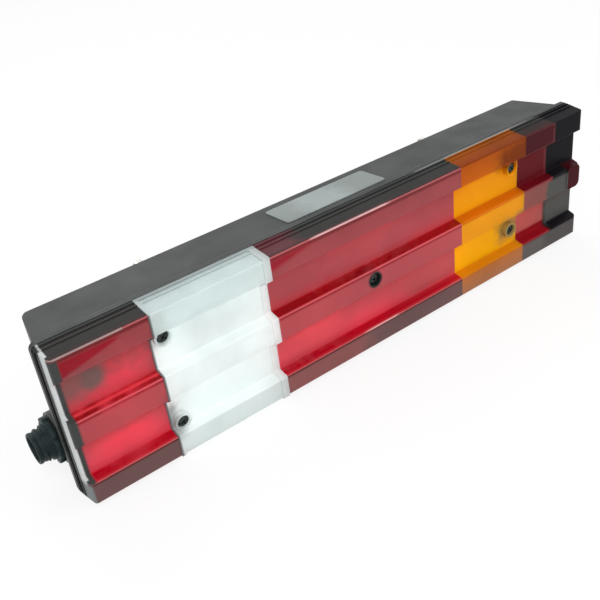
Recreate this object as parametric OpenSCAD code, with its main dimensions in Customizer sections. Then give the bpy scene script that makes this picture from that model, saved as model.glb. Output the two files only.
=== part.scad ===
// Rear lamp cluster of a truck: a welded lens in five fields, a black tub and a round side connector.
// Millimetres. The origin is the centre of the flat back face, X runs along the lamp and Z is up.
// The lens faces -Y. Inside the modules a piece is drawn as [x, up, forward], with forward
// counted from the back face, and stand() turns it into the lamp's own frame.

/* [Housing] */
// Length over the rim
lamp_len = 526; // [520:1:550]
// Height over the rim
lamp_h = 130; // [128:0.5:140]
// Depth from the back face to the front of the rim
housing_d = 55; // [54:0.5:62]
// Wall thickness of the tub
tub_wall = 3; // [2.6:0.1:3.4]
// How far the rim stands out round the tub
rim_step = 3; // [2.6:0.1:4]
// Thickness of the rim
rim_t = 4; // [3:0.5:6]
// Corner radius of the rim
rim_r = 5; // [3:0.5:8]
// How far each end leans in between the rim and the back
end_lean = 10.5; // [9:0.5:11]
// How far the top and the bottom lean in between the rim and the back
side_lean = 3.2; // [2:0.1:4]
// Radius of the back corner at the connector end
back_r = 12; // [6:0.5:14]
// Radius of the back corner at the far end
far_r = 4; // [2:0.5:8]
// Radius of the long back edges
edge_r = 3; // [1:0.5:4]

/* [Lens] */
// Depth from the rim to the face of the three bars
lens_d = 20.5; // [19:0.5:23]
// How deep the two long panels lie behind the bars
recess_d = 9; // [6:0.5:10]
// Wall thickness of the lens
lens_wall = 2.8; // [2.4:0.1:3]
// How far the lens body lies inside the edge of the housing rim
lens_inset = 1.5; // [1.2:0.1:2]
// How far the ends of the lens body lie inside the ends of the housing rim
lens_end_inset = 1; // [0.8:0.1:1.5]
// How far the long walls of the lens lean in towards the face
lens_draft = 1.5; // [0.5:0.1:3]
// How far the end walls of the lens lean in towards the face
lens_end_lean = 2.7; // [1:0.1:4]
// Height of the top bar and of the bottom bar on the face
band_h = 18; // [16:0.5:20]
// Height of the middle bar on the face
mid_h = 20; // [18:0.5:24]
// How much higher the upper side of a bar is at its foot than on its face
bar_draft = 2; // [1:0.1:3]
// How much lower the sloping underside of the top bar and of the middle bar is at its foot
under_draft = 6; // [4:0.5:7]
// Edge radius of the bars
bar_r = 1.3; // [0.8:0.1:1.6]
// Radius of the upright corners of the face
lens_corner_r = 4; // [3:0.5:6]
// Thickness of the foot flange of the lens
foot_t = 3; // [2:0.5:4]
// How far the foot flange lies inside the edge of the housing rim
foot_inset = 0.6; // [0.4:0.1:1]
// Distance from the foot flange to the bead round the lens
bead_gap = 3; // [2:0.5:4]
// Width of the bead
bead_w = 1.5; // [1:0.1:2]
// Width of the weld rib at the start of the clear field
weld_w = 3; // [2:0.5:4]
// Width of the weld rib at the end of the clear field
wide_weld_w = 6; // [5:0.5:7]
// How far the weld rib stands out of the face
weld_out = 0.8; // [0.4:0.1:0.8]
// Length of the solid lug at the far end of the middle bar
lug_len = 18; // [12:1:24]
// How far the lug stands out of the middle bar
lug_out = 0.8; // [0.4:0.1:1.5]
// Corner radius of the lug
lug_r = 5; // [2:0.5:7]

/* [Fields] */
// Share of the lamp's length that the tail field takes
tail_share = 0.139; // [0.136:0.001:0.142]
// Share that the clear field takes
reverse_share = 0.187; // [0.183:0.001:0.191]
// Share that the stop field takes
stop_share = 0.369; // [0.365:0.001:0.373]
// Share that the amber field takes
amber_share = 0.152; // [0.15:0.001:0.154]
// Share of the marker field that its reflector fills
marker_fill = 0.422; // [0.416:0.002:0.44]

/* [Lens screws] */
// Distance from the tail field to the two screws in the clear field
near_screw_in = 9; // [8.5:0.5:12]
// Distance from the faces of the outer bars to these two screws
near_screw_gap = 6.5; // [6:0.5:7]
// Distance from the screw in the middle bar to the middle of the stop field
mid_screw_in = 1.5; // [0:0.5:3]
// Distance from the marker field to the two screws in the amber field
far_screw_in = 12.5; // [12:0.5:13.5]
// Distance from the face of the top bar to the upper screw of the amber field
upper_screw_gap = 8; // [6:0.5:9]
// Distance from the face of the bottom bar to the lower screw of the amber field
lower_screw_gap = 19; // [18.5:0.5:20]
// Radius of the screw head
head_r = 4.8; // [4:0.1:5]
// Height of the screw head
head_h = 3; // [2.4:0.1:3.4]
// Radius of the screw shank
shank_r = 2.2; // [2:0.1:2.4]
// How far a screw reaches into its pillar
screw_grip = 15; // [10:1:20]
// Radius of the pillar that takes a screw
pillar_r = 4.2; // [3.8:0.1:4.2]
// Radius of the boss in the lens round a screw
boss_r = 7; // [6.6:0.1:7.4]
// How far the collar stands out of the panel round a screw
collar_h = 5; // [4:0.5:7]
// Height of the seat of a screw above the panel
seat_up = 0.5; // [0.3:0.1:1]
// Depth of the seat of the middle screw below the face of its bar
mid_seat_down = 5; // [4.4:0.2:6]
// Thickness of the sealing washer
washer_t = 0.8; // [0.5:0.1:1]

/* [Number plate window] */
// Length of the window
window_len = 100; // [80:1:110]
// Width of the window from front to back
window_w = 32; // [26:1:34]
// How far the middle of the window lies behind the middle of the tub's depth
window_back = 0.5; // [0:0.5:2]
// Thickness of the window's rim
window_t = 1.6; // [1.2:0.1:2]
// Width of the ledge that carries the window's rim
ledge_w = 4; // [3:0.5:5]
// Depth of the ledge below the top of the tub
ledge_d = 1.4; // [1.2:0.1:1.6]
// Thickness of the window's gasket
window_seal_t = 0.5; // [0.3:0.1:0.6]

/* [Bulbs and reflectors] */
// Share of the room in its reflector that a dish fills
dish_fill = 0.8; // [0.74:0.01:0.86]
// Thickness of a reflector
reflector_t = 1.4; // [1:0.1:1.8]
// Gap between a tall reflector and the wall of the tub
tall_gap = 1; // [0.6:0.1:2]
// Gap between a reflector and the edge of its field
field_gap = 1.5; // [1:0.1:2.5]
// Gap between the tail reflector and the end of the lamp
end_gap = 11; // [9:0.5:13]
// Depth of the skirt round a reflector
skirt_d = 5; // [3:0.5:5]
// Distance between the two bulbs of the stop field, as a share of the field's length
stop_spread = 0.515; // [0.5:0.005:0.525]
// Distance along the lamp from the middle screw to the number plate bulb
plate_bulb_in = 14; // [14:0.5:16]
// Distance from the top wall of the tub to the number plate bulb
plate_bulb_drop = 21.8; // [20:0.2:24]
// Radius of a bulb's cap
cap_r = 7.5; // [7:0.1:7.8]
// Length of a bulb's cap
cap_len = 16; // [14:0.5:18]
// Glass radius of a large bulb
big_glass_r = 13; // [11:0.5:13.5]
// Glass length of a large bulb
big_glass_len = 32; // [28:1:33]
// Glass radius of a small bulb
small_glass_r = 9; // [8:0.5:9.5]
// Glass length of a small bulb
small_glass_len = 22; // [18:1:26]
// Wall thickness of a bulb holder
holder_wall = 1.6; // [1.2:0.1:2]
// Radius of a bulb holder's flange
holder_flange_r = 12; // [11.5:0.1:12.6]
// Thickness of a bulb holder's flange
holder_flange_t = 1.2; // [0.8:0.1:1.6]

/* [Current strips] */
// Thickness of the brass strips
strip_t = 0.8; // [0.5:0.1:1]
// Width of a feed strip
strip_w = 1.8; // [1.4:0.1:2]
// Distance between neighbouring feed strips
strip_pitch = 2.85; // [2.6:0.05:2.85]
// Distance below the middle of the first feed strip
first_strip = 14; // [13.9:0.1:14.2]
// Width of the earth strip
earth_w = 6; // [4:0.5:7]
// Height of the earth strip's lower edge above the middle
earth_up = 13; // [13:0.5:14]

/* [Connector] */
// How far the connector's axis lies in front of the middle of the tub's depth
conn_front = 0.5; // [0:0.5:1]
// Height of the connector's axis above the bottom wall of the tub
conn_rise = 25.8; // [25.4:0.2:28]
// Outer radius of the barrel
barrel_r = 12; // [11:0.5:13]
// Inner radius of the barrel
socket_r = 10; // [9:0.5:10.5]
// Length of the barrel in front of its flange
barrel_len = 12.5; // [10:0.5:16]
// Radius of the flange
conn_flange_r = 18; // [17:0.5:19]
// Thickness of the flange
conn_flange_t = 4; // [3:0.5:5]
// Radius of the shank through the wall
conn_shank_r = 13.5; // [13:0.1:14]
// Depth of the socket from the mouth of the barrel
socket_d = 17; // [15:0.5:18]
// Radius of a contact pin
pin_r = 1.2; // [1:0.1:1.4]
// Length of a contact pin in the socket
pin_len = 10; // [8:0.5:10.5]
// Radius of the ring of contact pins
pin_ring_r = 6; // [5:0.5:7]
// Radius of the pad on the tub that carries the connector
pad_r = 20; // [19.5:0.5:21]
// Distance of the pad's face inside the end of the rim
pad_inset = 2.6; // [1.5:0.1:3]
// Thickness of the connector's flat seal
conn_seal_t = 1; // [0.6:0.1:1.5]
// Thickness of the ring nut
ring_nut_t = 5; // [4:0.5:6]

/* [Mounting studs] */
// Distance from the ends of the lamp to the studs
stud_inset = 113; // [111:1:118]
// Distance between the upper and the lower studs
stud_gap = 90; // [89:0.5:91]
// Radius of a stud
stud_r = 4; // [3:0.5:4.5]
// Radius of a stud's neck in the wall of the tub
stud_neck_r = 4.6; // [4.5:0.1:5]
// Length of a stud behind the back face
stud_out = 22; // [15:1:35]
// Width across the flats of a stud's head
stud_head_w = 13; // [11:0.5:13.5]
// Height of a stud's head
stud_head_h = 5.3; // [4:0.1:6]
// Radius of the boss round a stud's head
stud_boss_r = 9; // [8.6:0.1:9.4]
// Thickness of the boss under a stud's head
stud_seat_t = 3; // [2:0.5:4]

/* [Fits] */
// Gap round a piece that slides into another
fit = 0.15; // [0.1:0.05:0.25]
// Gap round a screw in its pilot hole
pilot_fit = 0.05; // [0.03:0.01:0.1]
// Gap round a pillar where it passes through a reflector
pillar_gap = 0.8; // [0.5:0.1:1.2]

/* [Hidden] */
$fn = 48;

// Levels, counted forward from the back face
rim_d = housing_d;
front_d = rim_d + lens_d;
panel_d = front_d - recess_d;
neck_d = 8;
holder_seat_d = neck_d + reflector_t;
pillar_d = rim_d + foot_t;
pilot_len = screw_grip + 3;
brim_d = pillar_d - 0.4;
overcut = 1;
sunk = 0.5;

// Half sizes of the tub and of the lens at the rim
tub_half = lamp_h / 2 - rim_step;
inner_half = tub_half - side_lean - tub_wall;
tub_half_len = lamp_len / 2 - rim_step;
lens_half_h = lamp_h / 2 - lens_inset;
face_half_h = lens_half_h - lens_draft;
lens_half_len = lamp_len / 2 - lens_end_inset;
tub_angle = atan(side_lean / housing_d);
short_half = face_half_h - band_h;
tall_half = tub_half - tub_wall - tall_gap;

// Places along the lamp where one field ends and the next one starts
tail_edge = lamp_len * (tail_share - 0.5);
reverse_edge = tail_edge + lamp_len * reverse_share;
stop_edge = reverse_edge + lamp_len * stop_share;
amber_edge = stop_edge + lamp_len * amber_share;
marker_end = amber_edge + (lamp_len / 2 - amber_edge) * marker_fill;
stop_mid = (reverse_edge + stop_edge) / 2;
stop_pitch = stop_spread * (stop_edge - reverse_edge);
reflector_start = -lamp_len / 2 + end_gap;

// Screws as [x, up, level of the seat]
panel_seat_d = panel_d + seat_up;
mid_seat_d = front_d - mid_seat_down;
near_screw_x = tail_edge + near_screw_in;
near_screw_up = short_half - near_screw_gap;
mid_screw_x = stop_mid - mid_screw_in;
far_screw_x = amber_edge - far_screw_in;
SCREWS = [
    [near_screw_x, near_screw_up, panel_seat_d],
    [near_screw_x, -near_screw_up, panel_seat_d],
    [mid_screw_x, 0, mid_seat_d],
    [far_screw_x, short_half - upper_screw_gap, panel_seat_d],
    [far_screw_x, lower_screw_gap - short_half, panel_seat_d]
];

// Bulbs as [x, up, glass radius, glass length]
TAIL = 0;
REVERSE = 1;
STOP = 2;
PLATE = 3;
FOG = 4;
TURN = 5;
MARKER = 6;
BULBS = [
    [(reflector_start + tail_edge) / 2, 0, small_glass_r, small_glass_len],
    [(tail_edge + reverse_edge) / 2, 0, big_glass_r, big_glass_len],
    [stop_mid - stop_pitch / 2, 0, big_glass_r, big_glass_len],
    [mid_screw_x + plate_bulb_in, inner_half - plate_bulb_drop, small_glass_r, small_glass_len],
    [stop_mid + stop_pitch / 2, 0, big_glass_r, big_glass_len],
    [(stop_edge + amber_edge) / 2, 0, big_glass_r, big_glass_len],
    [(amber_edge + marker_end) / 2, 0, small_glass_r, small_glass_len]
];
holder_r = cap_r + fit + holder_wall;
post_ring_r = 15;
post_r = 2;
cap_d = tub_wall + strip_t + 0.3;

// Connector's axis, forward of the back face and below the middle
conn_at = housing_d / 2 + conn_front;
conn_down = inner_half - conn_rise;

// Tabs of the strips on the inner end of the connector
first_tab = 10.6;
tab_start = first_tab - conn_down;
tab_pitch = 2.7;
tab_len = 4;
earth_tab_w = 2;

// Length of the part of a contact pin that sits in the connector
pin_root = 4;

// Connector stations along the lamp, from the mouth inwards
pad_x = -lamp_len / 2 + pad_inset;
flange_x = pad_x - conn_seal_t;
mouth_x = flange_x - conn_flange_t - barrel_len;
socket_x = mouth_x + socket_d;
pad_t = 13;
nut_x = pad_x + pad_t;
shank_end_x = nut_x + ring_nut_t + 4.5;

// Mouldings
module stand() {
    rotate([90, 0, 0]) children();
}

// Draws an outline of [up, forward] out along the lamp
module along(x0, x1) {
    translate([x0, 0, 0]) rotate([90, 0, 90]) linear_extrude(x1 - x0) children();
}

// Draws an outline of [x, forward] out upwards, as high as the lamp
module upward(high) {
    rotate([90, 0, 0]) linear_extrude(high, center = true) children();
}

// Turns a piece that is drawn standing on Z so that it runs along the lamp at the connector's axis
module at_connector(x) {
    translate([x, -conn_down, conn_at]) rotate([0, 90, 0]) children();
}

// Places a piece on the sloping top of the tub, with [x, out, forward along the slope]
module on_top() {
    translate([0, tub_half - side_lean, 0]) rotate([-tub_angle, 0, 0]) children();
}

module ring(outer, inner, high) {
    difference() {
        cylinder(r = outer, h = high);
        translate([0, 0, -overcut]) cylinder(r = inner, h = high + 2 * overcut);
    }
}

function unit(v) = v / norm(v);
function turned(v, a) = [v.x * cos(a) - v.y * sin(a), v.x * sin(a) + v.y * cos(a)];

// Points of the arc of radius r that rounds the corner at b, between the points a and c
function corner(a, b, c, r) =
    r == 0 ? [b] :
    let (
        u = unit(a - b),
        v = unit(c - b),
        half = acos(u * v) / 2,
        middle = b + unit(u + v) * r / sin(half),
        start = b + u * r / tan(half) - middle,
        stop = b + v * r / tan(half) - middle,
        way = sign(start.x * stop.y - start.y * stop.x),
        steps = 5
    )
    [for (i = [0:steps]) middle + turned(start, way * (180 - 2 * half) * i / steps)];

function rounded(points, radii) =
    let (n = len(points))
    [for (i = [0:n - 1]) each corner(points[(i + n - 1) % n], points[i], points[(i + 1) % n], radii[i])];

module rounded_plate(half_len, half_h, r) {
    polygon(rounded(
        [[-half_len, -half_h], [half_len, -half_h], [half_len, half_h], [-half_len, half_h]],
        [r, r, r, r]
    ));
}

// Outline of the tub from its side, or of its hollow where t is the wall
module tub_side(t) {
    back = tub_half - side_lean - t;
    front = tub_half - t;
    top = t > 0 ? rim_d + overcut : rim_d;
    r = t > 0 ? max(edge_r - t, 0) : edge_r;
    polygon(rounded([[-back, t], [back, t], [front, top], [-front, top]], [r, r, 0, 0]));
}

// Outline of the tub from above, or of its hollow where t is the wall
module tub_plan(t) {
    back = tub_half_len - end_lean - t;
    front = tub_half_len - t;
    top = t > 0 ? rim_d + overcut : rim_d;
    polygon(rounded(
        [[-back, t], [back, t], [front, top], [-front, top]],
        [max(back_r - t, 1), max(far_r - t, 1), 0, 0]
    ));
}

module tub(t) {
    intersection() {
        along(-lamp_len / 2, lamp_len / 2) tub_side(t);
        upward(lamp_h) tub_plan(t);
    }
}

module screw_pillars() {
    rib_t = 2;
    rib_start = tub_wall + 6;
    rib_end = rim_d - 6;
    for (s = SCREWS) {
        side = sign(s.y);
        translate([s.x, s.y, tub_wall - sunk]) cylinder(r = pillar_r, h = pillar_d - tub_wall + sunk);
        if (side != 0) {
            reach = tub_half - side_lean - sunk - abs(s.y);
            translate([s.x - rib_t / 2, side > 0 ? s.y : s.y - reach, rib_start])
                cube([rib_t, reach, rib_end - rib_start]);
        }
    }
    fin = 9;
    translate([mid_screw_x - fin, -rib_t / 2, rib_start]) cube([2 * fin, rib_t, rib_end - rib_start]);
    translate([mid_screw_x - rib_t / 2, -fin, rib_start]) cube([rib_t, 2 * fin, rib_end - rib_start]);
}

module bulb_posts() {
    for (i = [0:len(BULBS) - 1]) {
        level = i == PLATE ? holder_seat_d : neck_d;
        for (a = [45:90:315])
            translate([BULBS[i].x + post_ring_r * cos(a), BULBS[i].y + post_ring_r * sin(a), tub_wall - sunk])
                cylinder(r = post_r, h = level - tub_wall + sunk);
    }
}

module at_studs() {
    for (x = [-1, 1], up = [-1, 1])
        translate([x * (lamp_len / 2 - stud_inset), up * stud_gap / 2, 0]) children();
}

module stud_hex(extra, high) {
    cylinder(r = (stud_head_w / 2 + extra) / cos(30), h = high, $fn = 6);
}

window_at = housing_d / 2 - window_back;
module window_outline(extra) {
    rounded_plate(window_len / 2 + extra, window_w / 2 + extra, 3);
}

// Draws the window's outline down through the top of the tub, from out1 to out0
module through_top(out0, out1, extra) {
    on_top() translate([0, out1, window_at]) rotate([90, 0, 0]) linear_extrude(out1 - out0)
        window_outline(extra);
}

vent_hole_r = 4;
vent_at = 18;
module on_bottom_vent() {
    translate([marker_end, 0, 0]) mirror([0, 1, 0]) on_top() translate([0, 0, vent_at]) rotate([-90, 0, 0])
        children();
}

gasket_out = 1.9;
gasket_w = 2;
gasket_t = 1.6;
module gasket_outline() {
    outer_len = lamp_len / 2 - gasket_out;
    outer_h = lamp_h / 2 - gasket_out;
    difference() {
        rounded_plate(outer_len, outer_h, rim_r);
        rounded_plate(outer_len - gasket_w, outer_h - gasket_w, rim_r);
    }
}

module housing() {
    color([0.13, 0.13, 0.14]) stand() difference() {
        union() {
            difference() {
                union() {
                    tub(0);
                    translate([0, 0, rim_d - rim_t]) linear_extrude(rim_t)
                        rounded_plate(lamp_len / 2, lamp_h / 2, rim_r);
                }
                tub(tub_wall);
            }
            screw_pillars();
            bulb_posts();
            at_studs() translate([0, 0, tub_wall - sunk])
                cylinder(r = stud_boss_r, h = stud_seat_t + stud_head_h + sunk);
            at_connector(pad_x) cylinder(r = pad_r, h = pad_t);
        }
        translate([0, 0, rim_d - gasket_t]) linear_extrude(gasket_t + overcut) gasket_outline();
        for (s = SCREWS)
            translate([s.x, s.y, pillar_d - pilot_len]) cylinder(r = shank_r + pilot_fit, h = pilot_len + overcut);
        at_studs() translate([0, 0, -overcut]) cylinder(r = stud_neck_r + fit, h = tub_wall + stud_seat_t + 2 * overcut);
        at_studs() translate([0, 0, tub_wall + stud_seat_t]) stud_hex(fit, stud_head_h + overcut);
        at_connector(pad_x - overcut) cylinder(r = conn_shank_r + fit, h = pad_t + 2 * overcut);
        through_top(-ledge_d, overcut, fit);
        through_top(-tub_wall - overcut, overcut, -ledge_w);
        on_bottom_vent() translate([0, 0, -tub_wall - overcut]) cylinder(r = vent_hole_r, h = tub_wall + 2 * overcut);
    }
}

// Half of the lens's outline from its side as [up, forward], moved inwards by t, with the drafts
// of the outer bar and of the middle bar
function lens_half(t, outer, middle) = [
    [lens_half_h - t, t > 0 ? rim_d - overcut : rim_d],
    [face_half_h - t, front_d - t],
    [short_half + t, front_d - t],
    [short_half - outer + t, panel_d - t],
    [mid_h / 2 + middle - t, panel_d - t],
    [mid_h / 2 - t, front_d - t]
];

module lens_side(t) {
    upper = lens_half(t, under_draft, bar_draft);
    lower = lens_half(t, bar_draft, under_draft);
    radii = [0, bar_r, bar_r, bar_r / 2, bar_r / 2, bar_r];
    polygon(rounded(
        concat(upper, [for (i = [5:-1:0]) [-lower[i].x, lower[i].y]]),
        concat(radii, [for (i = [5:-1:0]) radii[i]])
    ));
}

module lens_plan(t) {
    foot = lens_half_len - t;
    face = foot - lens_end_lean;
    start = t > 0 ? rim_d - overcut : rim_d;
    r = max(lens_corner_r - max(t, 0), 0.5);
    polygon(rounded(
        [[-foot, start], [foot, start], [face, front_d - t], [-face, front_d - t]], [0, 0, r, r]
    ));
}

module lens_block(t) {
    intersection() {
        along(-lamp_len / 2, lamp_len / 2) lens_side(t);
        upward(lamp_h + 2) lens_plan(t);
    }
}

module slab(x0, x1) {
    translate([x0, -lamp_h, 0]) cube([x1 - x0, 2 * lamp_h, 2 * front_d]);
}

module lens_foot() {
    translate([0, 0, rim_d]) linear_extrude(foot_t)
        rounded_plate(lamp_len / 2 - foot_inset, lamp_h / 2 - foot_inset, rim_r);
    bead_out = lens_inset - 0.3;
    translate([0, 0, rim_d + foot_t + bead_gap]) linear_extrude(bead_w)
        rounded_plate(lamp_len / 2 - bead_out, lamp_h / 2 - bead_out, rim_r);
}

// One field of the lens between two places along the lamp, with the bosses of its screws
module lens_field(x0, x1) {
    own = [for (s = SCREWS) if (s.x > x0 && s.x < x1) s];
    difference() {
        union() {
            difference() {
                intersection() {
                    union() {
                        lens_block(0);
                        lens_foot();
                        children();
                    }
                    slab(x0, x1);
                }
                lens_block(lens_wall);
            }
            for (s = own) {
                high = s.y == 0 ? front_d - sunk : panel_d + collar_h;
                translate([s.x, s.y, pillar_d]) cylinder(r = boss_r, h = high - pillar_d);
            }
        }
        for (s = own) {
            translate([s.x, s.y, s.z]) cylinder(r = head_r + 0.5, h = front_d);
            translate([s.x, s.y, pillar_d - overcut]) cylinder(r = shank_r + 0.3, h = front_d);
        }
    }
}

module lens_tail() {
    color([0.75, 0.08, 0.12]) stand() lens_field(-lamp_len / 2, tail_edge);
}

module lens_reverse() {
    color([0.9, 0.93, 0.93]) stand() lens_field(tail_edge, reverse_edge) {
        intersection() {
            lens_block(-weld_out);
            union() {
                slab(tail_edge, tail_edge + weld_w);
                slab(reverse_edge - wide_weld_w, reverse_edge);
            }
        }
    }
}

module lens_stop() {
    color([0.75, 0.08, 0.12]) stand() lens_field(reverse_edge, stop_edge);
}

module lens_turn() {
    color([0.93, 0.6, 0.08]) stand() lens_field(stop_edge, amber_edge);
}

module lens_marker() {
    color([0.6, 0.05, 0.1]) stand() union() {
        lens_field(amber_edge, lamp_len / 2);
        end = lens_half_len - lens_end_lean;
        translate([end - lug_len / 2, 0, panel_d - lens_wall]) linear_extrude(recess_d + lens_wall + lug_out)
            rounded_plate(lug_len / 2, mid_h / 2 + bar_draft / 2, lug_r);
    }
}

module lens_gasket() {
    color([0.08, 0.08, 0.08]) stand() translate([0, 0, rim_d - gasket_t]) linear_extrude(gasket_t)
        gasket_outline();
}

module plate_window() {
    color([0.85, 0.87, 0.88]) stand() {
        through_top(window_seal_t - ledge_d, window_seal_t - ledge_d + window_t, 0);
        through_top(-tub_wall, window_seal_t - ledge_d + 0.2, -ledge_w - fit);
    }
}

module window_gasket() {
    color([0.1, 0.1, 0.1]) stand() difference() {
        through_top(-ledge_d, window_seal_t - ledge_d, 0);
        through_top(-tub_wall, overcut, -ledge_w);
    }
}

// Shell of revolution round a bulb: a neck, and a dish that opens as a parabola to radius r
module dish(r) {
    steps = 8;
    neck = holder_r + fit;
    start_r = neck + 3;
    rise = brim_d - neck_d - reflector_t;
    curve = [
        for (i = [0:steps])
            let (d = i / steps)
            [sqrt(start_r * start_r + d * (r * r - start_r * start_r)), neck_d + d * rise]
    ];
    rotate_extrude() polygon(concat(
        [[neck, neck_d + reflector_t], [neck, neck_d]],
        [for (p = curve) [p.x + reflector_t, p.y]],
        [for (i = [steps:-1:0]) [curve[i].x, curve[i].y + reflector_t]]
    ));
}

// Tray behind one field, with a dish round each bulb and a hole for each pillar
module reflector(x0, x1, half_h, bulbs) {
    level = brim_d - reflector_t;
    middle = (x0 + x1) / 2;
    half = (x1 - x0) / 2;
    r = dish_fill * min(half / len(bulbs), half_h);
    difference() {
        translate([middle, 0, 0]) difference() {
            translate([0, 0, brim_d - skirt_d]) linear_extrude(skirt_d) rounded_plate(half, half_h, 3);
            translate([0, 0, brim_d - skirt_d - overcut]) linear_extrude(skirt_d - reflector_t + overcut)
                rounded_plate(half - reflector_t, half_h - reflector_t, 2);
        }
        for (i = bulbs) translate([BULBS[i].x, BULBS[i].y, level - overcut]) cylinder(r = r, h = 3 * overcut + reflector_t);
        for (s = SCREWS) translate([s.x, s.y, 0]) cylinder(r = pillar_r + pillar_gap, h = front_d);
    }
    for (i = bulbs) translate([BULBS[i].x, BULBS[i].y, 0]) dish(r);
    for (i = bulbs) translate([BULBS[i].x, BULBS[i].y, neck_d]) ring(post_ring_r + post_r, holder_r + fit, reflector_t);
}

module reflector_tail() {
    color([0.9, 0.9, 0.9]) stand()
        reflector(reflector_start, tail_edge - field_gap, short_half, [TAIL]);
}

module reflector_reverse() {
    color([0.93, 0.93, 0.93]) stand()
        reflector(tail_edge + field_gap, reverse_edge - field_gap, tall_half, [REVERSE]);
}

module reflector_stop() {
    color([0.9, 0.9, 0.9]) stand()
        reflector(reverse_edge + field_gap, stop_edge - field_gap, short_half, [STOP, FOG]);
}

module reflector_turn() {
    color([0.9, 0.9, 0.9]) stand()
        reflector(stop_edge + field_gap, amber_edge - field_gap, tall_half, [TURN]);
}

module reflector_marker() {
    color([0.9, 0.9, 0.9]) stand()
        reflector(amber_edge + field_gap, marker_end, short_half, [MARKER]);
}

// Sleeve with a flange on the reflector and two slots for the bayonet pins of the cap
module bulb_holder(i) {
    sleeve_start = holder_seat_d - 4;
    slot_w = 2.6;
    slot_d = 7.5;
    high = 8.6;
    length = holder_seat_d + high - sleeve_start;
    flange_r = i == PLATE ? post_ring_r + post_r : holder_flange_r;
    color([0.8, 0.78, 0.7]) stand() translate([BULBS[i].x, BULBS[i].y, 0]) difference() {
        union() {
            translate([0, 0, sleeve_start]) cylinder(r = holder_r, h = length);
            translate([0, 0, holder_seat_d]) cylinder(r = flange_r, h = holder_flange_t);
        }
        translate([0, 0, sleeve_start - overcut]) cylinder(r = cap_r + fit, h = length + 2 * overcut);
        translate([-slot_w / 2, -holder_r - overcut, holder_seat_d + high - slot_d])
            cube([slot_w, 2 * (holder_r + overcut), slot_d + overcut]);
    }
}

module bulb_cap(i) {
    pin_d = holder_seat_d + 3;
    pin_reach = cap_r + 1.2;
    contact_h = 1.2;
    contact_r = 2.6;
    color([0.8, 0.68, 0.4]) stand() translate([BULBS[i].x, BULBS[i].y, 0]) {
        translate([0, 0, cap_d + contact_h]) cylinder(r = cap_r, h = cap_len - contact_h);
        translate([0, 0, cap_d]) cylinder(r = contact_r, h = contact_h + sunk);
        translate([0, pin_reach, pin_d]) rotate([90, 0, 0]) cylinder(r = 1, h = 2 * pin_reach);
    }
}

module bulb_glass(i) {
    r = BULBS[i].z;
    high = BULBS[i][3];
    neck = cap_r - 1;
    shoulder = high - r;
    steps = 6;
    color([0.85, 0.9, 0.92]) stand() translate([BULBS[i].x, BULBS[i].y, cap_d + cap_len]) rotate_extrude()
        polygon(concat(
            [[0, 0], [neck, 0], [neck, 2]],
            [for (k = [1:steps]) [neck + (r - neck) * sin(90 * k / steps), 2 + (shoulder - 2) * k / steps]],
            [for (k = [1:steps]) [r * cos(90 * k / steps), shoulder + r * sin(90 * k / steps)]]
        ));
}

// Brass strip from the connector along its own lane, then up to the pad under its bulb
module feed_strip(i, lane) {
    bulb = BULBS[i];
    up = -first_strip - lane * strip_pitch;
    top = tab_start - lane * tab_pitch;
    color([0.78, 0.6, 0.3]) stand() {
        translate([0, 0, tub_wall]) linear_extrude(strip_t) {
            translate([shank_end_x, up - strip_w / 2]) square([bulb.x - shank_end_x + strip_w / 2, strip_w]);
            translate([bulb.x - strip_w / 2, up]) square([strip_w, bulb.y - up]);
            translate([bulb.x, bulb.y]) circle(r = 4);
        }
        along(shank_end_x, shank_end_x + strip_t) polygon([
            [up - strip_w / 2, tub_wall], [up + strip_w / 2, tub_wall],
            [top + strip_w / 2, conn_at - tab_len], [top + strip_w / 2, conn_at],
            [top - strip_w / 2, conn_at], [top - strip_w / 2, conn_at - tab_len]
        ]);
    }
}

// Bar under the reflectors with a ring round every holder, and a tab at the connector
module earth_strip() {
    level = neck_d - strip_t;
    left = shank_end_x + 2;
    ring_w = 2.5;
    tab_up = tab_start - len(BULBS) * tab_pitch - earth_tab_w / 2;
    color([0.75, 0.72, 0.65]) stand() {
        translate([0, 0, level]) linear_extrude(strip_t) difference() {
            union() {
                translate([left, earth_up]) square([BULBS[MARKER].x - left, earth_w]);
                translate([left, tab_up]) square([earth_tab_w, earth_up + earth_w - tab_up]);
                translate([shank_end_x, tab_up]) square([left - shank_end_x + earth_tab_w, earth_tab_w]);
                for (b = BULBS) {
                    translate([b.x, b.y]) circle(r = holder_r + ring_w);
                    translate([b.x - earth_w / 2, min(b.y, earth_up)])
                        square([earth_w, abs(b.y - earth_up) + sunk]);
                }
            }
            for (b = BULBS) translate([b.x, b.y]) circle(r = holder_r);
        }
        along(shank_end_x, shank_end_x + strip_t)
            translate([tab_up, level]) square([earth_tab_w, conn_at - level]);
    }
}

module connector_body() {
    color([0.1, 0.14, 0.13]) stand() difference() {
        union() {
            at_connector(mouth_x) cylinder(r = barrel_r, h = barrel_len + 1);
            at_connector(flange_x - conn_flange_t) difference() {
                cylinder(r = conn_flange_r, h = conn_flange_t);
                for (a = [0:60:300]) rotate(a) translate([conn_flange_r + 1, 0, -overcut])
                    cylinder(r = 3, h = conn_flange_t + 2 * overcut);
            }
            at_connector(flange_x - 1) cylinder(r = conn_shank_r, h = shank_end_x - flange_x + 1);
        }
        at_connector(mouth_x - overcut) cylinder(r = socket_r, h = socket_d + overcut);
        at_pins() translate([0, 0, -pin_root]) cylinder(r = pin_r, h = pin_root + overcut);
    }
}

module at_pins() {
    at_connector(socket_x) {
        mirror([0, 0, 1]) children();
        for (a = [30:60:330]) rotate(a) translate([pin_ring_r, 0, 0]) mirror([0, 0, 1]) children();
    }
}

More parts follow.
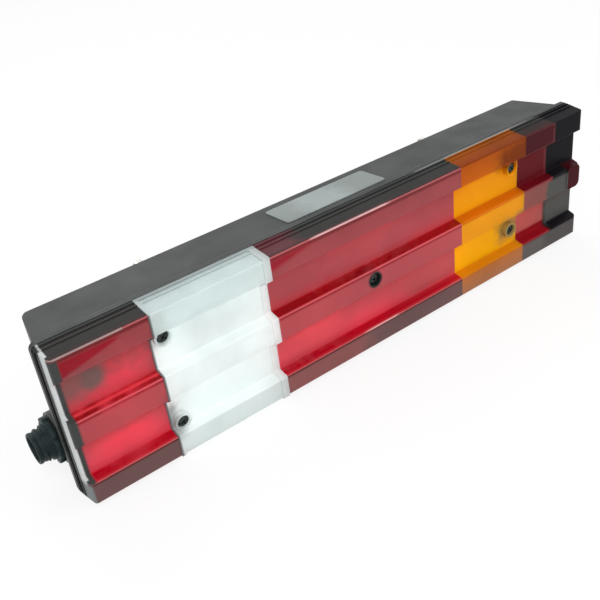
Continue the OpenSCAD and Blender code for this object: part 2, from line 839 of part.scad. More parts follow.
module connector_pins() {
    color([0.8, 0.65, 0.35]) stand() at_pins() translate([0, 0, -pin_root]) {
        straight = pin_root + pin_len - pin_r;
        cylinder(r = pin_r, h = straight);
        translate([0, 0, straight]) cylinder(r1 = pin_r, r2 = pin_r / 2, h = pin_r);
    }
}

module connector_seal() {
    color([0.06, 0.06, 0.06]) stand() at_connector(flange_x)
        ring(conn_flange_r - 3, conn_shank_r + fit, conn_seal_t);
}

module connector_nut() {
    color([0.12, 0.12, 0.12]) stand() at_connector(nut_x) difference() {
        cylinder(r = conn_shank_r + 6, h = ring_nut_t, $fn = 8);
        translate([0, 0, -overcut]) cylinder(r = conn_shank_r + fit, h = ring_nut_t + 2 * overcut);
    }
}

module lens_screws() {
    side_h = 0.6 * head_h;
    top_r = 0.7 * head_r;
    slot_len = 1.2 * head_r;
    slot_w = 1.2;
    color([0.25, 0.27, 0.27]) stand() for (s = SCREWS) {
        under = s.z + washer_t;
        difference() {
            translate([s.x, s.y, under]) {
                cylinder(r = head_r, h = side_h);
                translate([0, 0, side_h]) cylinder(r1 = head_r, r2 = top_r, h = head_h - side_h);
            }
            for (a = [0, 90]) translate([s.x, s.y, under + head_h]) rotate(a)
                cube([slot_len, slot_w, head_h], center = true);
        }
        translate([s.x, s.y, pillar_d - screw_grip]) cylinder(r = shank_r, h = under - pillar_d + screw_grip + sunk);
    }
}

module screw_washers() {
    color([0.05, 0.05, 0.05]) stand() for (s = SCREWS)
        translate([s.x, s.y, s.z]) ring(head_r, shank_r + 0.1, washer_t);
}

module mounting_studs() {
    seat = tub_wall + stud_seat_t;
    stud_tip = 1;
    color([0.7, 0.7, 0.72]) stand() at_studs() {
        translate([0, 0, seat]) stud_hex(0, stud_head_h);
        cylinder(r = stud_neck_r, h = seat);
        translate([0, 0, stud_tip - stud_out]) cylinder(r = stud_r, h = stud_out - stud_tip);
        translate([0, 0, -stud_out]) cylinder(r1 = stud_r - 0.8 * stud_tip, r2 = stud_r, h = stud_tip);
    }
}

module vent_plug() {
    cap_out_r = vent_hole_r + 2.5;
    lip_r = vent_hole_r + 0.6;
    bore_r = vent_hole_r - 1.8;
    cap_h = 1.6;
    lip_h = 1;
    color([0.06, 0.06, 0.06]) stand() on_bottom_vent() {
        cylinder(r = cap_out_r, h = cap_h);
        translate([0, 0, -tub_wall - 2 * sunk]) ring(vent_hole_r - fit, bore_r, tub_wall + 3 * sunk);
        translate([0, 0, -tub_wall - sunk - lip_h]) ring(lip_r, bore_r, lip_h);
    }
}

housing();
lens_tail();
lens_reverse();
lens_stop();
lens_turn();
lens_marker();
lens_gasket();
plate_window();
window_gasket();
reflector_tail();
reflector_reverse();
reflector_stop();
reflector_turn();
reflector_marker();
bulb_holder(TAIL);  // tail_holder
bulb_holder(REVERSE);  // reverse_holder
bulb_holder(STOP);  // stop_holder
bulb_holder(PLATE);  // plate_holder
bulb_holder(FOG);  // fog_holder
bulb_holder(TURN);  // turn_holder
bulb_holder(MARKER);  // marker_holder
bulb_cap(TAIL);  // tail_bulb_cap
bulb_cap(REVERSE);  // reverse_bulb_cap
bulb_cap(STOP);  // stop_bulb_cap
bulb_cap(PLATE);  // plate_bulb_cap
bulb_cap(FOG);  // fog_bulb_cap
bulb_cap(TURN);  // turn_bulb_cap
bulb_cap(MARKER);  // marker_bulb_cap
bulb_glass(TAIL);  // tail_bulb_glass
bulb_glass(REVERSE);  // reverse_bulb_glass
bulb_glass(STOP);  // stop_bulb_glass
bulb_glass(PLATE);  // plate_bulb_glass
bulb_glass(FOG);  // fog_bulb_glass
bulb_glass(TURN);  // turn_bulb_glass
bulb_glass(MARKER);  // marker_bulb_glass
feed_strip(TAIL, 0);  // tail_feed
feed_strip(REVERSE, 1);  // reverse_feed
feed_strip(STOP, 2);  // stop_feed
feed_strip(PLATE, 3);  // plate_feed
feed_strip(FOG, 4);  // fog_feed
feed_strip(TURN, 5);  // turn_feed
feed_strip(MARKER, 6);  // marker_feed
earth_strip();
connector_body();
connector_pins();
connector_seal();
connector_nut();
lens_screws();
screw_washers();
mounting_studs();
vent_plug();
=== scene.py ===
"""Looks of a truck's rear lamp cluster: moulded tub, welded lens in five fields, bulbs and connector.

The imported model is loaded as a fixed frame. Its nodes keep their shapes and get their finishes here,
and the connector, the lens screws, the bulbs and the studs are made again in finer detail.
"""

from __future__ import annotations

import logging
import math
from collections.abc import Mapping, Sequence
from dataclasses import dataclass
from enum import Enum

import bmesh
import bpy
from mathutils import Matrix, Vector

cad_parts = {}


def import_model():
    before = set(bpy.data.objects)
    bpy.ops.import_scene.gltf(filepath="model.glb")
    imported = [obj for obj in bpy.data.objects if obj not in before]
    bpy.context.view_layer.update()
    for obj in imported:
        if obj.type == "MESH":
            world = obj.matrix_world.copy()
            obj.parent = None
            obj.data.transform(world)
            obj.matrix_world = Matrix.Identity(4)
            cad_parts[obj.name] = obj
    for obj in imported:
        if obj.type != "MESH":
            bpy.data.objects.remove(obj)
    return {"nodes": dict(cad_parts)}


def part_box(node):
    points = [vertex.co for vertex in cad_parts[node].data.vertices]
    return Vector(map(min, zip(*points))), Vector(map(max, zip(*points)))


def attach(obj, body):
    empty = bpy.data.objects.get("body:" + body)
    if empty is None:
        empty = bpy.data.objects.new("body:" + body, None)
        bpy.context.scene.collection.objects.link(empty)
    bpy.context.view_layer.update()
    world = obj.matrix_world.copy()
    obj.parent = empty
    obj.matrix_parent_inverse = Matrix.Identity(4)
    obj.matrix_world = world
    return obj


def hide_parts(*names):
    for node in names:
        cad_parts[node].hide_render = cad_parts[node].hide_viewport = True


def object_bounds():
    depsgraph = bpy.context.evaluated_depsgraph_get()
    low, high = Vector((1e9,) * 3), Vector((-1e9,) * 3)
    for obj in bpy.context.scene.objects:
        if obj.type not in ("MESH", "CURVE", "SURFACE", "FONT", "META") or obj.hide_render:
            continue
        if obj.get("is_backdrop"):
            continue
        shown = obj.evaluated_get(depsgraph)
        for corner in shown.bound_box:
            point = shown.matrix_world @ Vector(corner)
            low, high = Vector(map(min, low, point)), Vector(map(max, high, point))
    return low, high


Colour = tuple[float, float, float]
Point = tuple[float, float]
Mesh = bmesh.types.BMesh
Socket = bpy.types.NodeSocket

MM = 0.001
ROOT = "root"
LOG = logging.getLogger("lamp")

WHITE: Colour = (1.0, 1.0, 1.0)
RISING: Point = (0.0, 1.0)
FALLING: Point = (1.0, 0.0)
# Nearly all values of a noise pattern lie in this range.
NOISE_RANGE: Point = (0.3, 0.7)
# Places of the colour sockets of a Mix node, which share their names with other sockets.
MIX_SHARE, MIX_BASE, MIX_TOP, MIX_RESULT = 0, 6, 7, 2


class Slot(Enum):
    """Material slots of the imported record, apart from those of the lens, which has its own zones."""

    TUB = "tub_plastic"
    RUBBER = "seal_rubber"
    REFLECTOR = "reflector_white"
    HOLDER = "holder_steel"
    CAP = "cap_brass"
    GLASS = "bulb_glass"
    STRIP = "strip_brass"
    CONNECTOR = "connector_plastic"
    PIN = "pin_brass"
    SCREW = "screw_steel"
    STUD = "stud_steel"


class Ray(Enum):
    """Kinds of ray that the Light Path node tells apart."""

    CAMERA = "Is Camera Ray"
    GLOSSY = "Is Glossy Ray"
    TRANSMISSION = "Is Transmission Ray"
    SHADOW = "Is Shadow Ray"


class Operation(Enum):
    """Ways to work out one value from others."""

    ADD = "ADD"
    MULTIPLY = "MULTIPLY"
    MAXIMUM = "MAXIMUM"


class Graph:
    """A node tree, with short calls for the nodes that materials and surroundings share."""

    def __init__(self, tree: bpy.types.NodeTree) -> None:
        """Takes a node tree and empties it."""
        self.tree = tree
        self.tree.nodes.clear()

    def add(
        self, kind: str, inputs: Mapping[str | int, object] | None = None, **options: object
    ) -> bpy.types.Node:
        """Adds a node, sets its options and feeds its inputs.

        Args:
            kind: The node's type.
            inputs: Values or sockets for its inputs, by name or place.
            options: Options of the node by name.

        Returns:
            The new node.
        """
        node = self.tree.nodes.new(kind)
        for name, value in options.items():
            setattr(node, name, value)
        self.feed(node, inputs or {})
        return node

    def feed(self, node: bpy.types.Node, inputs: Mapping[str | int, object]) -> None:
        """Joins inputs of a node to sockets, or sets them to values.

        Args:
            node: The node.
            inputs: Values or sockets for its inputs, by name or place.
        """
        for name, value in inputs.items():
            socket = node.inputs[name]
            if isinstance(value, Socket):
                self.tree.links.new(value, socket)
            elif socket.type == "RGBA":
                socket.default_value = (*value, 1)
            else:
                socket.default_value = value

    def span(self, value: Socket, old: Point, new: Point) -> Socket:
        """Maps a value from one range to another and keeps it inside.

        Args:
            value: The value's socket.
            old: Range of the value.
            new: Range of the result.

        Returns:
            The result's socket.
        """
        names = ("Value", "From Min", "From Max", "To Min", "To Max")
        node = self.add("ShaderNodeMapRange", dict(zip(names, (value, *old, *new))))
        return node.outputs["Result"]

    def combine(self, how: Operation, first: Socket, *others: Socket) -> Socket:
        """Works out one value from others.

        Args:
            how: The operation.
            first: Socket with the first value.
            others: Sockets with the other values.

        Returns:
            The result's socket.
        """
        total = first
        for other in others:
            total = self.add("ShaderNodeMath", {0: total, 1: other}, operation=how.value).outputs[0]
        return total

    def rays(self, *kinds: Ray) -> Socket:
        """Gives a socket that is 1 for a ray of one of these kinds."""
        path = self.add("ShaderNodeLightPath")
        return self.combine(Operation.MAXIMUM, *(path.outputs[kind.value] for kind in kinds))

    def seen(self) -> Socket:
        """Gives a socket that is 1 for the rays that show the background."""
        return self.rays(Ray.CAMERA, Ray.GLOSSY, Ray.TRANSMISSION)


class Surface(Graph):
    """Node tree of one material, round a Principled shader."""

    def __init__(self, name: str) -> None:
        """Starts the material.

        Args:
            name: The material's name.
        """
        self.material = bpy.data.materials.new(name)
        self.material.use_nodes = True
        super().__init__(self.material.node_tree)
        self.shader = self.add("ShaderNodeBsdfPrincipled")
        self.output = self.add("ShaderNodeOutputMaterial", {"Surface": self.shader.outputs["BSDF"]})

    def set(self, **inputs: object) -> None:
        """Feeds the Principled shader, with underscores for the spaces in the inputs' names."""
        titles = {name: name.replace("_", " ").title().replace("Ior", "IOR") for name in inputs}
        self.feed(self.shader, {titles[name]: value for name, value in inputs.items()})

    def place(self, stretch: Sequence[float] = (1, 1, 1)) -> Socket:
        """Gives the Object coordinates, scaled along X, Y and Z."""
        where = self.add("ShaderNodeTexCoord").outputs["Object"]
        return self.add("ShaderNodeMapping", {"Vector": where, "Scale": stretch}).outputs["Vector"]

    def along(self, axis: str) -> Socket:
        """Gives the Object coordinate on one axis, in metres."""
        return self.add("ShaderNodeSeparateXYZ", {0: self.place()}).outputs[axis]

    def noise(self, scale: float, detail: float = 4.0, stretch: Sequence[float] = (1, 1, 1)) -> Socket:
        """Gives a noise pattern with so many waves in a metre and so many finer layers."""
        inputs = {"Scale": scale, "Detail": detail, "Vector": self.place(stretch)}
        return self.add("ShaderNodeTexNoise", inputs).outputs["Fac"]

    def over(self, share: Socket, base: Socket | Colour, top: Colour) -> Socket:
        """Lays a colour over another colour, or over its socket, by a share."""
        inputs = {MIX_SHARE: share, MIX_BASE: base, MIX_TOP: top}
        return self.add("ShaderNodeMix", inputs, data_type="RGBA").outputs[MIX_RESULT]

    def rounded(self, radius: float) -> Socket:
        """Gives the normal that the surface would have with its edges rounded."""
        return self.add("ShaderNodeBevel", {"Radius": radius}, samples=6).outputs["Normal"]

    def edges(self, radius: float) -> Socket:
        """Tells where the surface turns sharply.

        Args:
            radius: How far from an edge it reaches, in metres.

        Returns:
            Socket that is 1 on an edge and 0 on a flat.
        """
        flat = self.add("ShaderNodeNewGeometry").outputs["True Normal"]
        normals = {0: self.rounded(radius), 1: flat}
        likeness = self.add("ShaderNodeVectorMath", normals, operation="DOT_PRODUCT")
        return self.span(likeness.outputs["Value"], (0.88, 0.99), FALLING)

    def bump(self, height: Socket, depth: float, round_edge: float = 0.0) -> None:
        """Gives the surface relief, and soft edges where a radius is named.

        Args:
            height: Socket with the relief's height, 0 to 1.
            depth: Depth of the relief in metres.
            round_edge: Radius that the edges seem to have, in metres.
        """
        inputs: dict[str | int, object] = {"Strength": 1.0, "Distance": depth, "Height": height}
        if round_edge > 0:
            inputs["Normal"] = self.rounded(round_edge)
        self.set(normal=self.add("ShaderNodeBump", inputs).outputs["Normal"])

    def let_light_in(self, tint: Colour) -> None:
        """Lets the lamps' light through the surface, so that what lies behind it is lit.

        Args:
            tint: Colour that one face gives to the light.
        """
        clear = self.add("ShaderNodeBsdfTransparent", {"Color": tint}).outputs["BSDF"]
        inputs = {0: self.rays(Ray.SHADOW), 1: self.shader.outputs["BSDF"], 2: clear}
        mix = self.add("ShaderNodeMixShader", inputs)
        self.feed(self.output, {"Surface": mix.outputs["Shader"]})


@dataclass(frozen=True)
class Finish:
    """What every finish has: the name of its material, and a way to paint it."""

    name: str

    def paint(self, surface: Surface) -> None:
        """Fills the material's nodes."""
        raise NotImplementedError

    def build(self) -> bpy.types.Material:
        """Makes the material.

        Returns:
            The material.
        """
        surface = Surface(self.name)
        self.paint(surface)
        return surface.material


@dataclass(frozen=True)
class MouldedPlastic(Finish):
    """Satin moulded plastic with a fine grain, uneven gloss and a painted highlight on its soft edges,
    in patches.
    """

    colour: Colour
    worn: Colour
    roughness: float = 0.42
    gloss: float = 0.26
    grain: float = 2600.0
    grain_depth: float = 0.00006
    edge: float = 0.0008
    # Colour of the painted highlight along the edges.
    edge_highlight: Colour = (0.22, 0.24, 0.24)

    def paint(self, surface: Surface) -> None:
        """Fills the material's nodes.

        Args:
            surface: The material's surface.
        """
        patches = surface.noise(14.0, 5.0)
        plain = surface.over(surface.span(patches, NOISE_RANGE, RISING), self.colour, self.worn)
        # Painted highlight: the edges are painted pale in noise patches.
        highlight_patches = surface.span(patches, (0.4, 0.62), (0.2, 1.0))
        streaks = surface.combine(Operation.MULTIPLY, surface.edges(self.edge), highlight_patches)
        smears = (self.roughness - 0.07, self.roughness + 0.08)
        surface.set(
            base_color=surface.over(streaks, plain, self.edge_highlight),
            roughness=surface.span(surface.noise(38.0, 3.0), NOISE_RANGE, smears),
            specular_ior_level=self.gloss,
        )
        surface.bump(surface.noise(self.grain, 2.0), self.grain_depth, self.edge)


@dataclass(frozen=True)
class WhiteMoulding(Finish):
    """White gloss moulding of the reflectors, with a little dust."""

    colour: Colour = (0.86, 0.86, 0.85)
    dusty: Colour = (0.74, 0.75, 0.75)

    def paint(self, surface: Surface) -> None:
        """Fills the material's nodes.

        Args:
            surface: The material's surface.
        """
        dust = surface.span(surface.noise(45.0, 4.0), (0.35, 0.75), (0.0, 0.6))
        surface.set(base_color=surface.over(dust, self.colour, self.dusty), roughness=0.28)
        surface.bump(surface.noise(420.0, 2.0), 0.00004)


@dataclass(frozen=True)
class Rubber(Finish):
    """Dull black rubber with a powdery bloom."""

    colour: Colour = (0.018, 0.018, 0.019)
    bloom: Colour = (0.05, 0.05, 0.052)

    def paint(self, surface: Surface) -> None:
        """Fills the material's nodes.

        Args:
            surface: The material's surface.
        """
        powder = surface.span(surface.noise(260.0, 5.0), (0.4, 0.7), RISING)
        tone = surface.over(powder, self.colour, self.bloom)
        surface.set(base_color=tone, roughness=0.78, specular_ior_level=0.35)
        surface.bump(surface.noise(1900.0, 2.0), 0.00005)


@dataclass(frozen=True)
class Metal(Finish):
    """Drawn or turned metal with fine marks along one direction and a little tarnish."""

    colour: Colour
    tarnish: Colour
    roughness: float = 0.32
    marks: Sequence[float] = (1, 12, 1)

    def paint(self, surface: Surface) -> None:
        """Fills the material's nodes.

        Args:
            surface: The material's surface.
        """
        stain = surface.span(surface.noise(120.0, 5.0), (0.4, 0.75), RISING)
        streaks = surface.noise(900.0, 3.0, self.marks)
        smears = (self.roughness - 0.08, self.roughness + 0.12)
        surface.set(
            base_color=surface.over(stain, self.colour, self.tarnish),
            roughness=surface.span(streaks, NOISE_RANGE, smears),
            metallic=1.0,
        )
        surface.bump(streaks, 0.00002)


@dataclass(frozen=True)
class ThinGlass(Finish):
    """Clear bulb glass with a faint cloud where the metal has settled on it."""

    colour: Colour = (0.93, 0.95, 0.96)
    cloud: Colour = (0.62, 0.64, 0.66)
    light: Colour = (0.9, 0.92, 0.93)

    def paint(self, surface: Surface) -> None:
        """Fills the material's nodes.

        Args:
            surface: The material's surface.
        """
        patch = surface.span(surface.noise(60.0, 3.0), (0.45, 0.75), RISING)
        tone = surface.over(patch, self.colour, self.cloud)
        surface.set(base_color=tone, transmission_weight=1.0, ior=1.5, roughness=0.03)
        surface.let_light_in(self.light)


@dataclass(frozen=True)
class Tone:
    """Tint of a lens at one height in millimetres, or up to a second one.

    The clear share is the part of the light that goes through instead of being scattered. Between
    two tones of a lens the tint changes evenly.
    """

    height: float
    tint: Colour
    clear: float
    to: float | None = None

    def levels(self) -> list[float]:
        """Gives the heights at which the tone holds."""
        return [self.height] if self.to is None else [self.height, self.to]


@dataclass(frozen=True)
class Patch:
    """Zone of a field between two places and two heights, in millimetres, with its own tone.

    Its lower edge may rise along the lamp, and it may start behind a level. A side that is soft is
    ragged too.
    """

    start: float
    end: float
    low: float
    high: float
    tint: Colour
    clear: float
    soft: float = 2.0
    trim: float = 1.0
    rise: float = 0.0
    behind: float | None = None
    ragged_from: float = 3.0
    sway: float = 0.7

    def share(self, surface: Surface) -> Socket:
        """Tells where the zone lies.

        Args:
            surface: The material's surface.

        Returns:
            Socket that is 1 in the zone.
        """
        across, height = surface.along("X"), surface.along("Z")
        foot = height
        if self.rise:
            slope = surface.span(across, (self.start * MM, self.end * MM), (0.0, -self.rise * MM))
            foot = surface.combine(Operation.ADD, height, slope)
        sides = [
            self.side(surface, across, self.start, RISING, self.soft),
            self.side(surface, across, self.end, FALLING, self.soft),
            self.side(surface, foot, self.low, RISING, self.trim),
            self.side(surface, height, self.high, FALLING, self.trim),
        ]
        if self.behind is not None:
            sides.append(self.side(surface, surface.along("Y"), self.behind, RISING, self.trim))
        return surface.combine(Operation.MULTIPLY, *sides)

    def side(
        self, surface: Surface, where: Socket, edge: float, values: Point, soft: float
    ) -> Socket:
        """Tells what lies inside one side of the zone.

        Args:
            surface: The material's surface.
            where: Socket with the place across this side.
            edge: Place of the side, in millimetres.
            values: Values before and after the side.
            soft: Half the width of its fade, in millimetres.

        Returns:
            Socket that is 1 inside.
        """
        if soft >= self.ragged_from:
            reach = soft * self.sway * MM
            waves = surface.span(surface.noise(90.0, 3.0), NOISE_RANGE, (-reach, reach))
            where = surface.combine(Operation.ADD, where, waves)
        return surface.span(where, ((edge - soft) * MM, (edge + soft) * MM), values)


@dataclass(frozen=True)
class Spot:
    """Round zone of a field, placed and sized in millimetres, with its own tone."""

    along: float
    height: float
    radius: float
    tint: Colour
    clear: float
    soft: float = 1.5

    def share(self, surface: Surface) -> Socket:
        """Tells where the zone lies.

        Args:
            surface: The material's surface.

        Returns:
            Socket that is 1 in the zone.
        """
        middle = (self.along * MM, 0.0, self.height * MM)
        inputs = {0: surface.place((1.0, 0.0, 1.0)), 1: middle}
        away = surface.add("ShaderNodeVectorMath", inputs, operation="DISTANCE").outputs["Value"]
        ends = ((self.radius - self.soft) * MM, (self.radius + self.soft) * MM)
        return surface.span(away, ends, FALLING)


@dataclass(frozen=True)
class LensPlastic(Finish):
    """Tinted clear moulding, which blurs what lies behind it, with a tone for each height; the tones
    and zones also paint light and shade.
    """

    tones: tuple[Tone, ...]
    light: Colour
    blur: float = 0.42
    gloss: float = 0.1
    zones: tuple[Patch | Spot, ...] = ()
    bend: float = 1.49
    reach: float = 66.0

    def ramp(self, surface: Surface, height: Socket, values: Sequence[Colour]) -> Socket:
        """Adds a ramp that runs through one value for each tone.

        Args:
            surface: The material's surface.
            height: Socket with the share of the lens's height.
            values: Value of each tone, from the lowest.

        Returns:
            The ramp's colour socket.
        """
        node = surface.add("ShaderNodeValToRGB", {"Fac": height})
        elements = node.color_ramp.elements
        elements[0].color = (*values[0], 1)
        elements[1].color = (*values[-1], 1)
        for tone, value in zip(self.tones, values):
            for level in tone.levels():
                elements.new((level + self.reach) / (2 * self.reach)).color = (*value, 1)
        return node.outputs["Color"]

    def paint(self, surface: Surface) -> None:
        """Fills the material's nodes.

        Args:
            surface: The material's surface.
        """
        reach = self.reach * MM
        height = surface.span(surface.along("Z"), (-reach, reach), RISING)
        tint = self.ramp(surface, height, [tone.tint for tone in self.tones])
        clear = self.ramp(surface, height, [(tone.clear,) * 3 for tone in self.tones])
        for zone in self.zones:
            share = zone.share(surface)
            tint = surface.over(share, tint, zone.tint)
            clear = surface.over(share, clear, (zone.clear,) * 3)
        clouds = surface.span(surface.noise(22.0, 3.0), NOISE_RANGE, (0.9, 1.08))
        cloudy = surface.add("ShaderNodeVectorMath", {0: tint, "Scale": clouds}, operation="SCALE")
        surface.set(
            base_color=cloudy.outputs[0],
            transmission_weight=clear,
            ior=self.bend,
            roughness=self.blur,
            specular_ior_level=self.gloss,
        )
        surface.bump(surface.noise(160.0, 2.0, (1.0, 1.0, 0.5)), 0.00008)
        surface.let_light_in(self.light)


RED_LIGHT: Colour = (0.97, 0.40, 0.42)
CLEAR_LIGHT: Colour = (0.98, 0.99, 0.99)
AMBER_LIGHT: Colour = (0.98, 0.84, 0.35)
WINDOW_LIGHT: Colour = (0.9, 0.9, 0.9)
# Bottom bar: dark grey-brown painted shade with a painted reflection. Wedge: dark red painted shadow
# under the top bar.
RED_BAR: Colour = (0.155, 0.085, 0.083)
RED_SHADOW_WEDGE: Colour = (0.42, 0.002, 0.022)

# From the lowest: bottom bar, ledge, lower panel, middle bar, ledge, upper panel, top bar. Besides the
# red, the tones paint light and shade: the bottom bar and the top wall are dark painted shade, the
# thin pale bands at -44.6, 9.1 and 60.7 are painted highlights with dark lines of painted shade below
# them, the pink haze of the panels is a painted reflection, and the lower panel is painted brighter
# towards its foot and the upper panel darker towards the top.
RED_TONES = (
    Tone(-62.0, RED_BAR, 0.2),
    Tone(-46.3, RED_BAR, 0.3),
    Tone(-45.9, (0.09, 0.012, 0.010), 0.3, to=-45.0),
    Tone(-44.6, (0.60, 0.13, 0.14), 0.3, to=-44.1),
    Tone(-43.7, (0.86, 0.0, 0.025), 0.65, to=-41.9),
    Tone(-41.5, (0.98, 0.080, 0.135), 0.5),
    Tone(-37.0, (0.88, 0.100, 0.150), 0.55),
    Tone(-28.0, (0.77, 0.112, 0.156), 0.55),
    Tone(-14.0, (0.58, 0.108, 0.128), 0.55, to=6.5),
    Tone(7.5, (0.40, 0.012, 0.025), 0.7, to=8.6),
    Tone(9.1, (0.80, 0.14, 0.17), 0.4, to=9.8),
    Tone(10.1, (0.46, 0.0, 0.008), 0.85, to=12.1),
    Tone(12.6, (0.68, 0.085, 0.112), 0.5),
    Tone(20.0, (0.54, 0.098, 0.118), 0.55),
    Tone(38.0, (0.48, 0.098, 0.116), 0.55),
    Tone(57.0, (0.41, 0.080, 0.088), 0.55),
    Tone(58.5, (0.22, 0.020, 0.022), 0.5, to=60.2),
    Tone(60.7, (0.50, 0.13, 0.14), 0.3, to=61.5),
    Tone(61.9, (0.017, 0.017, 0.016), 0.1),
    Tone(63.5, (0.033, 0.037, 0.035), 0.1),
)
# Darker on the bottom bar and towards the top wall: painted shade.
CLEAR_TONES = (
    Tone(-62.0, (0.74, 0.80, 0.79), 0.5, to=-45.5),
    Tone(-44.5, (0.92, 0.97, 0.96), 0.5),
    Tone(-42.0, (0.90, 0.96, 0.95), 0.5),
    Tone(9.5, (0.90, 0.96, 0.95), 0.45),
    Tone(12.5, (0.92, 0.97, 0.96), 0.45),
    Tone(36.0, (0.87, 0.95, 0.94), 0.45),
    Tone(44.5, (0.80, 0.90, 0.89), 0.5),
    Tone(60.5, (0.70, 0.80, 0.79), 0.5),
    Tone(62.5, (0.54, 0.62, 0.62), 0.5),
)
# Darker bands on the bottom bar, the ledges, the middle bar, the top bar and the top wall are painted
# shade.
AMBER_TONES = (
    Tone(-62.0, (0.42, 0.19, 0.10), 0.3),
    Tone(-46.0, (0.50, 0.18, 0.05), 0.3),
    Tone(-45.0, (0.58, 0.18, 0.01), 0.5),
    Tone(-43.8, (0.80, 0.32, 0.004), 0.5, to=-41.9),
    Tone(-41.4, (0.95, 0.53, 0.001), 0.45),
    Tone(-16.0, (0.94, 0.51, 0.002), 0.45),
    Tone(-10.0, (0.84, 0.39, 0.010), 0.45, to=7.0),
    Tone(8.6, (0.64, 0.18, 0.002), 0.5, to=12.1),
    Tone(12.8, (0.90, 0.43, 0.002), 0.45),
    Tone(36.0, (0.84, 0.38, 0.003), 0.45),
    Tone(44.5, (0.60, 0.155, 0.002), 0.5),
    Tone(60.5, (0.50, 0.115, 0.003), 0.5),
    Tone(61.4, (0.22, 0.03, 0.002), 0.4),
    Tone(63.5, (0.36, 0.10, 0.012), 0.3),
)
WINDOW_TONES = (
    Tone(56.0, (0.21, 0.25, 0.24), 0.2),
    Tone(64.0, (0.23, 0.27, 0.26), 0.2),
)


def shared_finishes() -> dict[Slot, bpy.types.Material]:
    """Builds the finishes that more than one piece may take.

    Returns:
        The material of each slot.
    """
    looks = {
        Slot.TUB: MouldedPlastic("tub_plastic", (0.018, 0.020, 0.020), (0.026, 0.028, 0.028)),
        Slot.RUBBER: Rubber("seal_rubber"),
        Slot.REFLECTOR: WhiteMoulding("reflector_white"),
        Slot.HOLDER: Metal("holder_steel", (0.55, 0.55, 0.53), (0.38, 0.37, 0.34)),
        Slot.CAP: Metal("cap_brass", (0.66, 0.55, 0.36), (0.48, 0.38, 0.22)),
        Slot.GLASS: ThinGlass("bulb_glass"),
        Slot.STRIP: Metal("strip_brass", (0.70, 0.52, 0.25), (0.50, 0.34, 0.15), marks=(12, 1, 1)),
        Slot.CONNECTOR: MouldedPlastic(
            "connector_plastic",
            (0.006, 0.014, 0.015),
            (0.009, 0.019, 0.020),
            roughness=0.5,
            gloss=0.2,
            # Fainter painted highlight on its edges.
            edge_highlight=(0.020, 0.040, 0.042),
        ),
        Slot.PIN: Metal("pin_brass", (0.76, 0.60, 0.32), (0.58, 0.42, 0.20), roughness=0.24),
        Slot.SCREW: Metal("screw_steel", (0.055, 0.065, 0.06), (0.03, 0.035, 0.032), roughness=0.45),
        Slot.STUD: Metal("stud_steel", (0.60, 0.60, 0.57), (0.44, 0.43, 0.39), marks=(1, 6, 1)),
    }
    return {slot: look.build() for slot, look in looks.items()}


@dataclass(frozen=True)
class Box:
    """Lowest and highest corner of a solid, in metres."""

    low: Vector
    high: Vector

    @property
    def middle(self) -> Vector:
        """Middle of the box."""
        return (self.low + self.high) / 2

    @property
    def size(self) -> Vector:
        """Size of the box."""
        return self.high - self.low


def solids_of(node: bpy.types.Object) -> list[Box]:
    """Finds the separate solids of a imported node, from a merged copy of its mesh.

    Args:
        node: The node's object.

    Returns:
        The box of each solid, from the lowest X to the highest.
    """
    mesh = bmesh.new()
    mesh.from_mesh(node.data)
    bmesh.ops.remove_doubles(mesh, verts=mesh.verts[:], dist=1e-6)
    boxes: list[Box] = []
    left = set(mesh.verts)
    while left:
        group = [left.pop()]
        for vert in group:
            others = {edge.other_vert(vert) for edge in vert.link_edges} & left
            left -= others
            group.extend(others)
        low = Vector(tuple(min(vert.co[axis] for vert in group) for axis in range(3)))
        high = Vector(tuple(max(vert.co[axis] for vert in group) for axis in range(3)))
        boxes.append(Box(low, high))
    mesh.free()
    return sorted(boxes, key=lambda box: (round(box.low.x, 4), box.low.z))


def turned(degrees: float, axis: str) -> Matrix:
    """Gives the turn by an angle round an axis."""
    return Matrix.Rotation(math.radians(degrees), 4, axis)


def facing_front(x: float, y: float, z: float) -> Matrix:
    """Gives the place of a part that is drawn standing on Z and looks out of the lamp's face."""
    return Matrix.Translation((x, y, z)) @ turned(90, "X")


def lathe(outline: Sequence[Point], steps: int, closed: bool = False) -> Mesh:
    """Spins an outline round the Z axis for a full turn.

    Args:
        outline: Points as (radius, height).
        steps: Number of steps in the turn.
        closed: Whether the last point joins the first one.

    Returns:
        The new mesh, with its faces outwards.
    """
    mesh = bmesh.new()
    verts = [mesh.verts.new((radius, 0, height)) for radius, height in outline]
    edges = [mesh.edges.new(pair) for pair in zip(verts, verts[1:])]
    if closed:
        edges.append(mesh.edges.new((verts[-1], verts[0])))
    bmesh.ops.spin(
        mesh,
        geom=verts + edges,
        cent=(0, 0, 0),
        axis=(0, 0, 1),
        angle=math.tau,
        steps=steps,
        use_merge=True,
    )
    bmesh.ops.remove_doubles(mesh, verts=mesh.verts[:], dist=1e-6)
    bmesh.ops.dissolve_degenerate(mesh, dist=1e-7, edges=mesh.edges[:])
    bmesh.ops.recalc_face_normals(mesh, faces=mesh.faces[:])
    return mesh


def sweep(outline: Sequence[Point], angle: float, steps: int, rise: float) -> Mesh:
    """Spins a closed outline round the Z axis while it rises.

    Args:
        outline: Corners as (radius, height).
        angle: How far it turns, in radians.
        steps: Number of steps.
        rise: Rise in one step.

    Returns:
        The new closed mesh.
    """
    mesh = bmesh.new()
    face = mesh.faces.new([mesh.verts.new((radius, 0, height)) for radius, height in outline])
    bmesh.ops.spin(
        mesh,
        geom=[face],
        cent=(0, 0, 0),
        axis=(0, 0, 1),
        dvec=(0, 0, rise),
        angle=angle,
        steps=steps,
        use_merge=False,
    )
    bmesh.ops.recalc_face_normals(mesh, faces=mesh.faces[:])
    return mesh


